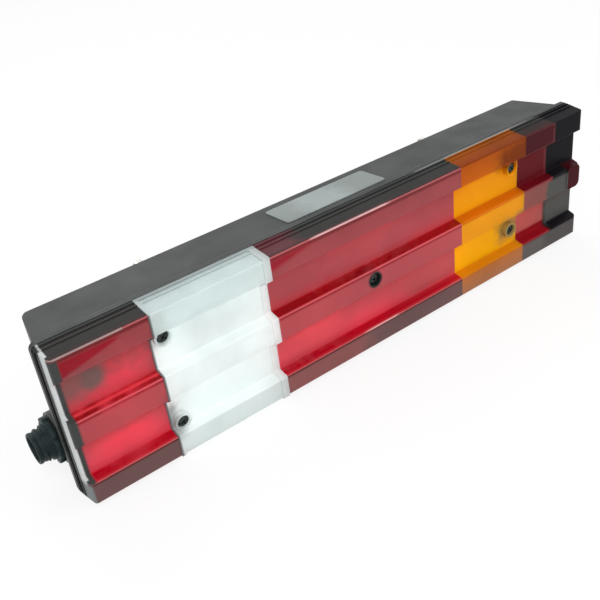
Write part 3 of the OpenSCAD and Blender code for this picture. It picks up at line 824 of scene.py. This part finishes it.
def helix(radius: float, depth: float, pitch: float, turns: int, start: float) -> Mesh:
    """Sweeps the outline of one thread up round the Z axis.

    Args:
        radius: Radius at the crest.
        depth: Depth of the thread.
        pitch: Rise in one turn.
        turns: Number of turns.
        start: Height of the first turn.

    Returns:
        The new closed mesh.
    """
    steps = 24
    foot = radius - depth
    root = foot - depth * 0.3
    outline = [
        (root, start),
        (foot, start + pitch * 0.05),
        (radius, start + pitch * 0.42),
        (radius, start + pitch * 0.58),
        (foot, start + pitch * 0.95),
        (root, start + pitch),
    ]
    return sweep(outline, math.tau * turns, steps * turns, pitch / steps)


def rod(radius: float, length: float, sides: int) -> Mesh:
    """Makes a straight rod along Z, with its middle at the origin.

    Args:
        radius: Radius at its corners.
        length: Its length.
        sides: Number of its sides.

    Returns:
        The new mesh.
    """
    mesh = bmesh.new()
    bmesh.ops.create_cone(
        mesh, cap_ends=True, segments=sides, radius1=radius, radius2=radius, depth=length
    )
    return mesh


def extrude(mesh: Mesh, faces: Sequence[bmesh.types.BMFace], rise: float) -> None:
    """Draws faces out along Z, and leaves the old ones.

    Args:
        mesh: The mesh.
        faces: The faces.
        rise: How far they go.
    """
    grown = bmesh.ops.extrude_face_region(mesh, geom=faces)
    moved = [item for item in grown["geom"] if isinstance(item, bmesh.types.BMVert)]
    bmesh.ops.translate(mesh, verts=moved, vec=(0, 0, rise))


def soften(mesh: Mesh, width: float, angle: float) -> None:
    """Rounds the edges that are sharper than an angle.

    Args:
        mesh: The mesh.
        width: Width of the rounding.
        angle: Smallest angle of a rounded edge, in degrees.
    """
    sharp = [
        edge
        for edge in mesh.edges
        if len(edge.link_faces) == 2 and edge.calc_face_angle(0.0) > math.radians(angle)
    ]
    bmesh.ops.bevel(
        mesh,
        geom=sharp,
        offset=width,
        offset_type="OFFSET",
        affect="EDGES",
        segments=2,
        profile=0.5,
        material=-1,
        clamp_overlap=True,
    )


def join(target: Mesh, other: Mesh, where: Matrix) -> None:
    """Adds another mesh to a mesh, at a place, and frees the other one.

    Args:
        target: The mesh that grows.
        other: The mesh that is added.
        where: Place of the added mesh.
    """
    bmesh.ops.transform(other, matrix=where, verts=other.verts[:])
    carrier = bpy.data.meshes.new("carrier")
    other.to_mesh(carrier)
    other.free()
    target.from_mesh(carrier)
    bpy.data.meshes.remove(carrier)


def add_object(name: str, data: bpy.types.ID) -> bpy.types.Object:
    """Puts an object into the scene.

    Args:
        name: Its name.
        data: Its mesh, camera or light.

    Returns:
        The new object.
    """
    thing = bpy.data.objects.new(name, data)
    bpy.context.scene.collection.objects.link(thing)
    return thing


@dataclass
class Workshop:
    """Turns finished meshes into pieces of the lamp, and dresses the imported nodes."""

    nodes: dict[str, bpy.types.Object]
    finishes: dict[Slot, bpy.types.Material]
    made: int = 0

    def piece(
        self, name: str, mesh: Mesh, slot: Slot, replaced: Sequence[str] = (), crease: float = 35.0
    ) -> None:
        """Makes an object of a mesh, with its finish and its carrier.

        Args:
            name: Name of the piece.
            mesh: Its mesh, in place. It is freed.
            slot: Material slot that it takes its finish from.
            replaced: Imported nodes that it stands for.
            crease: Angle past which an edge stays sharp, in degrees.
        """
        for face in mesh.faces:
            face.smooth = True
        for edge in mesh.edges:
            edge.smooth = edge.calc_face_angle(math.pi) < math.radians(crease)
        data = bpy.data.meshes.new(name)
        mesh.to_mesh(data)
        mesh.free()
        data.materials.append(self.finishes[slot])
        thing = add_object(name, data)
        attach(thing, ROOT)
        if replaced:
            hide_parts(*replaced)
        self.made += 1
        LOG.info("%s: %d faces, %s", name, len(data.polygons), slot.value)

    def dress(self, name: str, material: bpy.types.Material) -> None:
        """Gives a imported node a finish.

        Args:
            name: Name of the node.
            material: The finish.
        """
        materials = self.nodes[name].data.materials
        materials.clear()
        materials.append(material)
        LOG.info("%s: packed shape, %s", name, material.name)


@dataclass
class LampBody:
    """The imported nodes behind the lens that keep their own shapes, each with its finish."""

    bulbs: tuple[str, ...] = ("tail", "reverse", "stop", "plate", "fog", "turn", "marker")
    fields: tuple[str, ...] = ("tail", "reverse", "stop", "turn", "marker")
    rubber: tuple[str, ...] = (
        "lens_gasket",
        "window_gasket",
        "connector_seal",
        "screw_washers",
        "vent_plug",
    )

    def build(self, shop: Workshop) -> None:
        """Gives every kept node its finish.

        Args:
            shop: The workshop.
        """
        plan = {
            Slot.TUB: ["housing"],
            Slot.RUBBER: list(self.rubber),
            Slot.REFLECTOR: [f"reflector_{name}" for name in self.fields],
            Slot.HOLDER: [f"{name}_holder" for name in self.bulbs],
            Slot.CAP: [f"{name}_bulb_cap" for name in self.bulbs],
            Slot.STRIP: [f"{name}_feed" for name in self.bulbs] + ["earth_strip"],
            Slot.CONNECTOR: ["connector_nut"],
            Slot.PIN: ["connector_pins"],
        }
        for slot, names in plan.items():
            for name in names:
                shop.dress(name, shop.finishes[slot])


def ends_of(node: str) -> Point:
    """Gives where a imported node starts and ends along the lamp, in millimetres."""
    low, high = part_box(node)
    return low.x / MM, high.x / MM


@dataclass
class Lens:
    """The five welded fields of the lens and the number plate window, each with its own zones.

    All fields of this class are in millimetres. A zone that runs out of its field ends past the
    field's own end, below the foot or above the top.
    """

    past: float = 9.0
    foot: float = -80.0
    top: float = 80.0
    lamp_end: float = 300.0
    rim_line: float = 1.4
    # Place of the bulb seen through the tail field, painted there as a grey spot of shade.
    tail_blur: float = -233.7
    lug_start: float = 243.0

    def edge_line(self) -> float:
        """Gives the level behind which the top bar carries a painted highlight, along its rear edge.
        """
        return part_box("lens_turn")[1].y / MM - self.rim_line

    def tail(self) -> LensPlastic:
        """Gives the red field at the connector, with painted light and shade: brighter patches on its
        panels, a shadow wedge under its top bar, the bulb behind it as a grey blur, highlight lines, a
        reflection on its end wall that darkens at the bottom, and shade at the rim.

        Returns:
            The field's finish.
        """
        start, _ = ends_of("lens_tail")
        out = start - self.past
        wall = start + 4.2
        # Colours of the end wall's painted reflection, its darker foot, and the painted shade at the
        # rim.
        pale, shade, black = (0.60, 0.63, 0.63), (0.18, 0.20, 0.20), (0.012, 0.013, 0.013)
        zones = (
            # Painted light: brighter red on the lower part of the upper panel and on the lower panel.
            Patch(start + 14, start + 64, 12.5, 29, (0.84, 0.085, 0.130), 0.5, soft=9.0, trim=7.0),
            Patch(start + 20, start + 60, -41, -22, (0.92, 0.098, 0.146), 0.5, soft=9.0, trim=3.0),
            # Painted shadow: dark wedge under the top bar.
            Patch(start + 4, start + 50, 44.5, 57.5, RED_SHADOW_WEDGE, 0.6, soft=4.0, rise=11.0),
            # Painted shade: the bulb behind the lens, as a grey blur on the upper panel.
            Patch(start + 6, start + 34, 20, 43, (0.31, 0.135, 0.130), 0.5, soft=6.0, trim=5.0),
            # Painted highlights: pale line along the top edge and a bright line on the middle ledge.
            Patch(out, start + 54, 60.5, 61.7, (0.34, 0.27, 0.26), 0.1, soft=0.3, trim=0.3),
            Patch(start + 8, start + 90, 10.9, 11.5, (0.80, 0.060, 0.080), 0.3, soft=1.0, trim=0.2),
            # Painted shade: dark strip beside the end wall, where no reflector lies behind.
            Patch(out, start + 8, -45, 60, (0.050, 0.055, 0.053), 0.1, soft=1.0),
            # Painted reflection on the end wall, darker at the bottom, and black painted shade at the
            # rim.
            Patch(out, wall, self.foot, self.top, pale, 0.1, soft=0.5, trim=0.5, behind=-70.5),
            Patch(out, wall, self.foot, -46, shade, 0.1, soft=0.5, trim=2.5),
            Patch(out, start + 3, self.foot, self.top, black, 0.1, soft=0.8, trim=0.8, behind=-63.0),
            # Painted shade: the bulb seen through the lens, as a grey spot.
            Spot(self.tail_blur, 31.0, 8.5, (0.18, 0.115, 0.110), 0.3, soft=3.0),
        )
        return LensPlastic("red_lens_near", RED_TONES, RED_LIGHT, zones=zones, bend=1.35)

    def reverse(self) -> LensPlastic:
        """Gives the clear field, with painted shade along the seam at its start and a dark line on the
        seam.

        Returns:
            The field's finish.
        """
        start, _ = ends_of("lens_reverse")
        out = start - self.past
        zones = (
            # Painted shade: grey smears beside the seam, low and high.
            Patch(out, start + 8, -46, -22, (0.42, 0.46, 0.46), 0.4, soft=5.0, trim=3.0),
            Patch(out, start + 12, 28, 60, (0.62, 0.70, 0.69), 0.4, soft=6.0, trim=3.0),
            Patch(out, start + 1.2, self.foot, 62, (0.12, 0.13, 0.13), 0.3, soft=0.5),
        )
        return LensPlastic("clear_lens_field", CLEAR_TONES, CLEAR_LIGHT, 0.5, 0.4, zones)

    def stop(self, middle_screw: Vector) -> LensPlastic:
        """Gives the long red field, with painted highlight lines, brighter and darker painted patches
        on its panels, a painted shadow wedge under its top bar and a dark ring of painted shade round
        its screw.

        Args:
            middle_screw: Middle of the screw, in millimetres.

        Returns:
            The field's finish.
        """
        start, _ = ends_of("lens_stop")
        out = start - self.past
        # Grey of the painted highlight on the top rear edge, and the dark ring of painted shade in the
        # screw's well.
        grey, ring = (0.34, 0.36, 0.36), (0.010, 0.020, 0.017)
        zones = (
            # Painted shadow wedge under the top bar, and painted light where light leaks into the top
            # wall near the clear field.
            Patch(out, start + 40, 48, 58.5, RED_SHADOW_WEDGE, 0.6, soft=7.0, trim=2.0, rise=10.0),
            Patch(out, start + 30, 62.1, self.top, (0.10, 0.026, 0.032), 0.2, soft=9.0, trim=0.2),
            # Painted light and shade: the lower panel brighter at its start and darker towards its far
            # end, the bottom bar brighter over its first half, the upper panel brighter in its middle.
            Patch(start + 2, start + 60, -41, -18, (0.88, 0.125, 0.165), 0.55, soft=14.0, trim=3.0),
            Patch(40, 140, -41, -14, (0.62, 0.120, 0.135), 0.55, soft=14.0, trim=2.0),
            Patch(out, -8, self.foot, -46.6, (0.27, 0.096, 0.093), 0.2, soft=12.0, trim=0.4),
            Patch(-40, 50, 14, 42, (0.57, 0.108, 0.132), 0.55, soft=14.0, trim=4.0),
            # Painted highlights: pale top rear edge, pale line on the top bar's edge and on the lower
            # ledge.
            Patch(74, 140, 61, self.top, grey, 0.2, soft=9.0, trim=0.5, behind=self.edge_line()),
            Patch(-52, 22, 60.5, 61.7, (0.80, 0.47, 0.48), 0.2, soft=6.0, trim=0.4),
            Patch(-9, 27, -44.8, -43.9, (0.80, 0.44, 0.42), 0.2, soft=6.0, trim=0.3),
            # Painted shade: dark ring in the screw's well.
            Spot(middle_screw.x, middle_screw.z, 7.2, ring, 0.2, soft=1.0),
        )
        return LensPlastic("red_lens_long", RED_TONES, RED_LIGHT, zones=zones, bend=1.4)

    def turn(self, lower_screw: Vector) -> LensPlastic:
        """Gives the amber field, with painted shade in its upper far corner, on its lower panel's far
        end and round its lower screw, and a painted highlight on the top rear edge.

        Args:
            lower_screw: Middle of the screw, in millimetres.

        Returns:
            The field's finish.
        """
        _, end = ends_of("lens_turn")
        out = end + self.past
        line, pale = self.edge_line(), (0.50, 0.50, 0.46)
        zones = (
            # Painted shade in the upper far corner; painted highlight along the top rear edge.
            Patch(end - 34, out, 40, 60, (0.24, 0.045, 0.004), 0.4, soft=7.0, trim=6.0),
            Patch(-self.lamp_end, self.lamp_end, 61, self.top, pale, 0.2, 0.5, 0.5, behind=line),
            # Painted shade on the lower panel's far end and round the lower screw.
            Patch(end - 24, out, -34, -10, (0.50, 0.27, 0.08), 0.5, soft=7.0, trim=6.0),
            Spot(lower_screw.x, lower_screw.z, 8.5, (0.36, 0.28, 0.10), 0.3, soft=3.0),
        )
        return LensPlastic("amber_lens_far", AMBER_TONES, AMBER_LIGHT, 0.45, 0.05, zones, 1.22)

    def marker(self) -> LensPlastic:
        """Gives the red field at the far end, darkened by painted shade over its reflector and painted
        black and grey past it and on its lug, with a painted highlight on its top rear edge.

        Returns:
            The field's finish.
        """
        _, seam = ends_of("lens_turn")
        _, far = ends_of("reflector_marker")
        start, end = seam - self.past, self.lamp_end
        # Black and grey painted shade past the reflector, and pale for the painted highlight on the
        # top rear edge.
        black, grey, pale = (0.006, 0.005, 0.007), (0.085, 0.088, 0.082), (0.36, 0.36, 0.34)
        line = self.edge_line()
        zones = (
            # Painted shade: the panels, the bars and the ledge darker over the reflector.
            Patch(start, far + 6, -42, -12, (0.54, 0.130, 0.118), 0.5, trim=1.5),
            Patch(start, far, -11, 9, (0.33, 0.115, 0.100), 0.5),
            Patch(start, far + 4, 9, 44, (0.155, 0.003, 0.010), 0.5),
            Patch(start, far + 4, 44, 62, (0.07, 0.003, 0.008), 0.4),
            Patch(start, far + 9, -45, -36, (0.36, 0.004, 0.014), 0.5),
            # Painted shade: black past the reflector with grey on its panels, and a dark bottom bar
            # that is darker past the reflector.
            Patch(far + 4, end, self.foot, self.top, black, 0.2),
            Patch(far - 3, end, -12, 7, grey, 0.2, soft=3.0, trim=1.5),
            Patch(far + 6, end, -42, -10, grey, 0.2, soft=3.0, trim=1.5),
            Patch(far + 9, end, -45, -41, black, 0.2, soft=0.5),
            Patch(start, end, self.foot, -46, (0.115, 0.105, 0.100), 0.2, soft=1.0),
            Patch(far - 3, end, self.foot, -46, (0.085, 0.080, 0.076), 0.2, soft=6.0),
            # Painted highlight on the top rear edge, and painted shade on the lug.
            Patch(-end, far - 9, 61, self.top, pale, 0.2, soft=9.0, trim=0.5, behind=line),
            Patch(self.lug_start, end, -12, 12, (0.055, 0.0, 0.003), 0.3, soft=0.5),
        )
        return LensPlastic("red_lens_far", RED_TONES, RED_LIGHT, zones=zones, bend=1.25)

    def window(self) -> LensPlastic:
        """Gives the number plate window, with a painted highlight over its middle.

        Returns:
            The window's finish.
        """
        middle = sum(ends_of("plate_window")) / 2
        pale = Patch(middle - 24, middle + 14, 0, self.top, (0.33, 0.39, 0.38), 0.2, soft=9.0)
        return LensPlastic("window_lens", WINDOW_TONES, WINDOW_LIGHT, 0.3, 0.4, (pale,))

    def build(self, shop: Workshop) -> None:
        """Gives the fields and the window their finishes.

        Args:
            shop: The workshop.
        """
        screws = [solid.middle / MM for solid in solids_of(shop.nodes["lens_screws"])]
        middle_screw = screws[2]
        lower_screw = min(screws[3:], key=lambda place: place.z)
        looks = {
            "lens_tail": self.tail(),
            "lens_reverse": self.reverse(),
            "lens_stop": self.stop(middle_screw),
            "lens_turn": self.turn(lower_screw),
            "lens_marker": self.marker(),
            "plate_window": self.window(),
        }
        for name, look in looks.items():
            shop.dress(name, look.build())


@dataclass
class LensScrews:
    """Five pan head screws with a cross recess, each turned a little further than the last."""

    steps: int = 32
    head_h: float = 3.0 * MM
    recess_w: float = 1.1 * MM
    recess_reach: float = 2.7 * MM
    recess_d: float = 1.5 * MM
    shank_r: float = 2.2 * MM
    shank_steps: int = 20
    first_turn: float = 17.0
    next_turn: float = 31.0

    def head(self, radius: float) -> Mesh:
        """Makes a domed head with its cross recess, standing on Z.

        Args:
            radius: Radius of the head.

        Returns:
            The new mesh.
        """
        high = self.head_h
        rim = [(0.0, 0.0), (radius * 0.96, 0.0), (radius, high * 0.12), (radius, high * 0.42)]
        dome = [
            (radius * math.cos(angle), high * (0.42 + 0.58 * math.sin(angle)))
            for angle in (math.radians(step * 12) for step in range(1, 8))
        ]
        mesh = lathe([*rim, *dome, (0.0, high)], self.steps)
        half = self.recess_w / 2
        for normal in ((1, 0, 0), (0, 1, 0)):
            for side in (-half, half, -self.recess_reach, self.recess_reach):
                bmesh.ops.bisect_plane(
                    mesh,
                    geom=mesh.verts[:] + mesh.edges[:] + mesh.faces[:],
                    plane_co=Vector(normal) * side,
                    plane_no=normal,
                )
        cross = [face for face in mesh.faces if self.in_cross(face.calc_center_median())]
        extrude(mesh, cross, -self.recess_d)
        bmesh.ops.delete(mesh, geom=cross, context="FACES")
        bmesh.ops.recalc_face_normals(mesh, faces=mesh.faces[:])
        return mesh

    def in_cross(self, point: Vector) -> bool:
        """Tells whether a point of the dome lies in the cross recess.

        Args:
            point: The point.

        Returns:
            True if it does.
        """
        across, along = sorted((abs(point.x), abs(point.y)))
        in_arm = across < self.recess_w / 2 and along < self.recess_reach
        return in_arm and point.z > self.head_h * 0.5

    def shank(self, length: float) -> Mesh:
        """Makes the shank below the head, with its end tapered."""
        r, tip, root = self.shank_r, -length, 0.2 * MM
        outline = [(0.0, tip), (r * 0.6, tip), (r, tip + 2 * MM), (r, root), (0.0, root)]
        return lathe(outline, self.shank_steps)

    def build(self, shop: Workshop) -> None:
        """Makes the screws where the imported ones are.

        Args:
            shop: The workshop.
        """
        mesh = bmesh.new()
        for index, box in enumerate(solids_of(shop.nodes["lens_screws"])):
            place = facing_front(box.middle.x, box.low.y + self.head_h, box.middle.z)
            spin = turned(self.first_turn + self.next_turn * index, "Z")
            join(mesh, self.head(box.size.x / 2), place @ spin)
            join(mesh, self.shank(box.size.y - self.head_h), place)
        shop.piece("lens_screw_set", mesh, Slot.SCREW, ["lens_screws"])


@dataclass
class Bulb:
    """One bayonet bulb: thin glass, a coil between two support wires and its glass stem."""

    name: str
    steps: int = 40
    arc_steps: int = 10
    wall: float = 0.5 * MM
    neck_r: float = 6.5 * MM
    foot_h: float = 2.0 * MM
    stem_steps: int = 16
    wire_r: float = 0.25 * MM
    wire_sides: int = 8
    wire_lean: float = 14.0
    coil_r: float = 0.6 * MM
    coil_depth: float = 0.2 * MM
    coil_pitch: float = 0.8 * MM

    def glass(self, radius: float, high: float) -> Mesh:
        """Makes the envelope standing on Z, hollow and open at its foot.

        Args:
            radius: Radius of the globe.
            high: Height of the glass.

        Returns:
            The new mesh.
        """
        shoulder = high - radius
        swell = radius - self.neck_r
        climb = shoulder - self.foot_h
        turns = range(1, self.arc_steps + 1)
        angles = [math.radians(90 / self.arc_steps * turn) for turn in turns]
        outer = [(self.neck_r, 0.0), (self.neck_r, self.foot_h)]
        outer += [
            (self.neck_r + swell * math.sin(angle), self.foot_h + climb * turn / self.arc_steps)
            for turn, angle in zip(turns, angles)
        ]
        outer += [(radius * math.cos(a), shoulder + radius * math.sin(a)) for a in angles]
        inner = [(max(r - self.wall, 0.0), min(h, high - self.wall)) for r, h in reversed(outer)]
        return lathe([*outer, *inner], self.steps, closed=True)

    def coil(self, radius: float, high: float) -> Mesh:
        """Makes the stem, the two support wires and the coiled filament, standing on Z.

        Args:
            radius: Radius of the globe.
            high: Height of the glass.

        Returns:
            The new mesh.
        """
        level = high - radius
        half = radius * 0.36
        stem = [(2.2 * MM, 0.0), (2.0 * MM, level * 0.45), (1.1 * MM, level * 0.55)]
        mesh = lathe([(0.0, 0.0), *stem, (0.0, level * 0.56)], self.stem_steps)
        for side in (-1, 1):
            place = Matrix.Translation((side * half * 0.62, 0, level * 0.72))
            wire = rod(self.wire_r, level * 0.62, self.wire_sides)
            join(mesh, wire, place @ turned(side * self.wire_lean, "Y"))
        turns = max(4, round(2 * half / self.coil_pitch))
        filament = helix(self.coil_r, self.coil_depth, self.coil_pitch, turns, 0.0)
        join(mesh, filament, Matrix.Translation((-half, 0, level)) @ turned(90, "Y"))
        return mesh

    def build(self, shop: Workshop) -> None:
        """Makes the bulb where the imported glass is.

        Args:
            shop: The workshop.
        """
        node = f"{self.name}_bulb_glass"
        box = Box(*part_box(node))
        radius, high = box.size.x / 2, box.size.y
        place = facing_front(box.middle.x, box.high.y, box.middle.z)
        glass = self.glass(radius, high)
        bmesh.ops.transform(glass, matrix=place, verts=glass.verts[:])
        shop.piece(f"{self.name}_envelope", glass, Slot.GLASS, [node], crease=60)
        coil = self.coil(radius, high)
        bmesh.ops.transform(coil, matrix=place, verts=coil.verts[:])
        shop.piece(f"{self.name}_filament", coil, Slot.HOLDER)


@dataclass
class Connector:
    """Round bayonet connector: barrel with ramps and a grip ring, flange with notches, and socket."""

    barrel_r: float = 12.0 * MM
    barrel_len: float = 12.5 * MM
    lip: float = 0.5 * MM
    collar: float = 1.6 * MM
    socket_r: float = 10.0 * MM
    socket_d: float = 17.0 * MM
    flange_r: float = 18.0 * MM
    flange_t: float = 4.0 * MM
    shank_r: float = 13.5 * MM
    shank_edge: float = 0.6 * MM
    notches: int = 6
    notch_half: float = 9.0
    notch_share: float = 0.105
    ramps: int = 3
    ramp_span: float = 62.0
    ramp_start: float = 0.4
    ramp_steps: int = 14
    ramp_rise: float = 0.11 * MM
    steps: int = 72

    def barrel(self, total: float) -> Mesh:
        """Makes the barrel, its collar, the socket and the shank as one turned body on Z.

        Args:
            total: Length from the mouth to the inner end.

        Returns:
            The new mesh.
        """
        r, lip, back = self.barrel_r, self.lip, self.barrel_len
        outline = [
            (0.0, self.socket_d),
            (self.socket_r, self.socket_d),
            (self.socket_r, lip),
            (self.socket_r + lip, 0.0),
            (r - lip, 0.0),
            (r, lip),
            (r, 2.6 * MM),
            (r - lip, 3.0 * MM),
            (r - lip, 3.9 * MM),
            (r, 4.3 * MM),
            (r, back - 3.4 * MM),
            (r + self.collar, back - 2.8 * MM),
            (r + self.collar, back + 0.3 * MM),
            (self.shank_r, back + 1.0 * MM),
            (self.shank_r, total - self.shank_edge),
            (self.shank_r - self.shank_edge, total),
            (0.0, total),
        ]
        return lathe(outline, self.steps)

    def flange(self) -> Mesh:
        """Makes the round flange with its grip notches, standing on Z.

        Returns:
            The new mesh.
        """
        mesh = bmesh.new()
        made = bmesh.ops.create_circle(mesh, cap_ends=True, radius=self.flange_r, segments=self.steps)
        pitch = math.tau / self.notches
        half = math.radians(self.notch_half)
        for vert in made["verts"]:
            turn = math.atan2(vert.co.y, vert.co.x) % pitch
            away = min(turn, pitch - turn)
            if away < half:
                vert.co *= 1 - self.notch_share * math.cos(away / half * math.pi / 2)
        extrude(mesh, mesh.faces[:], self.flange_t)
        bmesh.ops.recalc_face_normals(mesh, faces=mesh.faces[:])
        soften(mesh, 0.5 * MM, 60)
        return mesh

    def ramp(self) -> Mesh:
        """Makes one bayonet ramp of the barrel.

        Returns:
            The new mesh.
        """
        foot = self.barrel_r - 0.2 * MM
        crest = self.barrel_r + 0.9 * MM
        outline = [(foot, 4.9 * MM), (crest, 5.2 * MM), (crest, 6.4 * MM), (foot, 6.7 * MM)]
        return sweep(outline, math.radians(self.ramp_span), self.ramp_steps, self.ramp_rise)

    def build(self, shop: Workshop) -> None:
        """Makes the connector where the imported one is.

        Args:
            shop: The workshop.
        """
        box = Box(*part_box("connector_body"))
        place = Matrix.Translation((box.low.x, box.middle.y, box.middle.z)) @ turned(90, "Y")
        mesh = bmesh.new()
        join(mesh, self.barrel(box.size.x), place)
        join(mesh, self.flange(), place @ Matrix.Translation((0, 0, self.barrel_len)))
        for index in range(self.ramps):
            spin = Matrix.Rotation(math.tau * index / self.ramps + self.ramp_start, 4, "Z")
            join(mesh, self.ramp(), place @ spin)
        shop.piece("connector_shell", mesh, Slot.CONNECTOR, ["connector_body"])


@dataclass
class Studs:
    """Four steel studs with a rolled thread behind the tub and a hexagon head inside."""

    radius: float = 4.0 * MM
    neck_r: float = 4.6 * MM
    pitch: float = 1.25 * MM
    depth: float = 0.55 * MM
    head_w: float = 13.0 * MM
    head_h: float = 5.3 * MM
    steps: int = 32

    def shaft(self, out: float, seat: float) -> Mesh:
        """Makes the core of the thread and the plain neck, standing on Z.

        Args:
            out: Length behind the tub.
            seat: Height where the head starts.

        Returns:
            The new mesh.
        """
        core = self.radius - self.depth
        outline = [
            (0.0, 0.0),
            (core - 0.6 * MM, 0.0),
            (core, 0.8 * MM),
            (core, out - 2 * MM),
            (self.radius, out - 1.6 * MM),
            (self.radius, out),
            (self.neck_r, out),
            (self.neck_r, seat),
            (0.0, seat),
        ]
        return lathe(outline, self.steps)

    def head(self) -> Mesh:
        """Makes the hexagon head, with its middle at the origin.

        Returns:
            The new mesh.
        """
        mesh = rod(self.head_w / 2 / math.cos(math.radians(30)), self.head_h, 6)
        soften(mesh, 0.3 * MM, 50)
        return mesh

    def build(self, shop: Workshop) -> None:
        """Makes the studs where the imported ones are.

        Args:
            shop: The workshop.
        """
        mesh = bmesh.new()
        for box in solids_of(shop.nodes["mounting_studs"]):
            out = box.high.y
            seat = box.size.y - self.head_h
            place = facing_front(box.middle.x, out, box.middle.z)
            join(mesh, self.shaft(out, seat), place)
            turns = int((out - 3.2 * MM) / self.pitch)
            join(mesh, helix(self.radius, self.depth, self.pitch, turns, 0.6 * MM), place)
            join(mesh, self.head(), place @ Matrix.Translation((0, 0, seat + self.head_h / 2)))
        shop.piece("stud_set", mesh, Slot.STUD, ["mounting_studs"])


@dataclass(frozen=True)
class SoftLamp:
    """Round area lamp of the studio, aimed at the middle of the lamp cluster."""

    name: str
    place: tuple[float, float, float]
    size: float
    watts: float

    def build(self) -> None:
        """Adds the lamp."""
        data = bpy.data.lights.new(self.name, "AREA")
        data.shape = "DISK"
        data.size = self.size
        data.energy = self.watts
        way = (-Vector(self.place)).to_track_quat("-Z", "Y").to_matrix().to_4x4()
        add_object(self.name, data).matrix_world = Matrix.Translation(self.place) @ way


@dataclass
class Studio:
    """White floor, white surroundings, soft lamps and the camera."""

    floor_size: float = 14.0
    floor_drop: float = 0.4 * MM
    floor_tint: Colour = (0.92, 0.92, 0.92)
    floor_glow: float = 0.8
    camera_at: tuple[float, float, float] = (-360.814 * MM, -517.786 * MM, 350.589 * MM)
    turn: float = 33.313
    tilt: float = 32.2794
    roll: float = -7.7112
    focus_px: float = 837.932
    frame_px: float = 600.0
    sky: float = 0.62
    lamps: tuple[SoftLamp, ...] = (
        SoftLamp("key", (-0.9, -1.3, 1.7), 1.5, 26.0),
        SoftLamp("fill", (1.4, -1.2, 1.0), 1.6, 9.0),
        SoftLamp("back", (0.3, 1.4, 1.5), 1.4, 9.0),
    )

    def add_camera(self) -> None:
        """Adds the camera at the photograph's place, with its lens."""
        data = bpy.data.cameras.new("camera")
        data.sensor_width = 36.0
        data.lens = self.focus_px / self.frame_px * data.sensor_width
        data.clip_start = 0.01
        camera = add_object("camera", data)
        way = turned(-self.turn, "Z") @ turned(90 - self.tilt, "X") @ turned(self.roll, "Z")
        camera.matrix_world = Matrix.Translation(self.camera_at) @ way
        bpy.context.scene.camera = camera

    def add_world(self) -> None:
        """Adds white surroundings, which light the lamp at a plain level and look white."""
        world = bpy.data.worlds.new("studio")
        world.use_nodes = True
        bpy.context.scene.world = world
        graph = Graph(world.node_tree)
        level = graph.span(graph.seen(), RISING, (self.sky, 1.0))
        sky = graph.add("ShaderNodeBackground", {"Color": WHITE, "Strength": level})
        graph.add("ShaderNodeOutputWorld", {"Surface": sky.outputs["Background"]})

    def floor_paper(self) -> bpy.types.Material:
        """Makes the floor's paper, which looks nearly white and keeps the lamp's shadow.

        Returns:
            The material.
        """
        material = bpy.data.materials.new("floor_paper")
        material.use_nodes = True
        graph = Graph(material.node_tree)
        paper = graph.add("ShaderNodeBsdfDiffuse", {"Color": self.floor_tint}).outputs["BSDF"]
        glow = graph.add("ShaderNodeEmission", {"Color": WHITE, "Strength": 1.0}).outputs["Emission"]
        share = graph.span(graph.seen(), RISING, (0.0, self.floor_glow))
        mix = graph.add("ShaderNodeMixShader", {0: share, 1: paper, 2: glow})
        graph.add("ShaderNodeOutputMaterial", {"Surface": mix.outputs["Shader"]})
        return material

    def add_floor(self, low: float) -> None:
        """Adds the floor under the lamp.

        Args:
            low: Height of the lamp's lowest point.
        """
        mesh = bmesh.new()
        bmesh.ops.create_grid(mesh, x_segments=1, y_segments=1, size=self.floor_size / 2)
        bmesh.ops.translate(mesh, verts=mesh.verts[:], vec=(0, 0, low - self.floor_drop))
        data = bpy.data.meshes.new("floor")
        mesh.to_mesh(data)
        mesh.free()
        data.materials.append(self.floor_paper())
        floor = add_object("floor", data)
        floor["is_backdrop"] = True

    def build(self, low: float) -> None:
        """Builds the whole studio.

        Args:
            low: Height of the lamp's lowest point.
        """
        self.add_camera()
        self.add_world()
        self.add_floor(low)
        for lamp in self.lamps:
            lamp.build()
        bpy.context.scene.view_settings.view_transform = "Standard"
        LOG.info("studio: floor, world, %d lamps and camera", len(self.lamps))


def main() -> None:
    """Builds the looks of the lamp round its frame."""
    logging.basicConfig(level=logging.INFO, format="%(name)s: %(message)s")
    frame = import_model()
    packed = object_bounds()
    shop = Workshop(frame["nodes"], shared_finishes())
    body = LampBody()
    bulbs = [Bulb(name) for name in body.bulbs]
    for part in (body, Lens(), LensScrews(), *bulbs, Connector(), Studs()):
        part.build(shop)
    Studio().build(packed[0].z)
    LOG.info("made %d new pieces", shop.made)


if __name__ == "__main__":
    main()
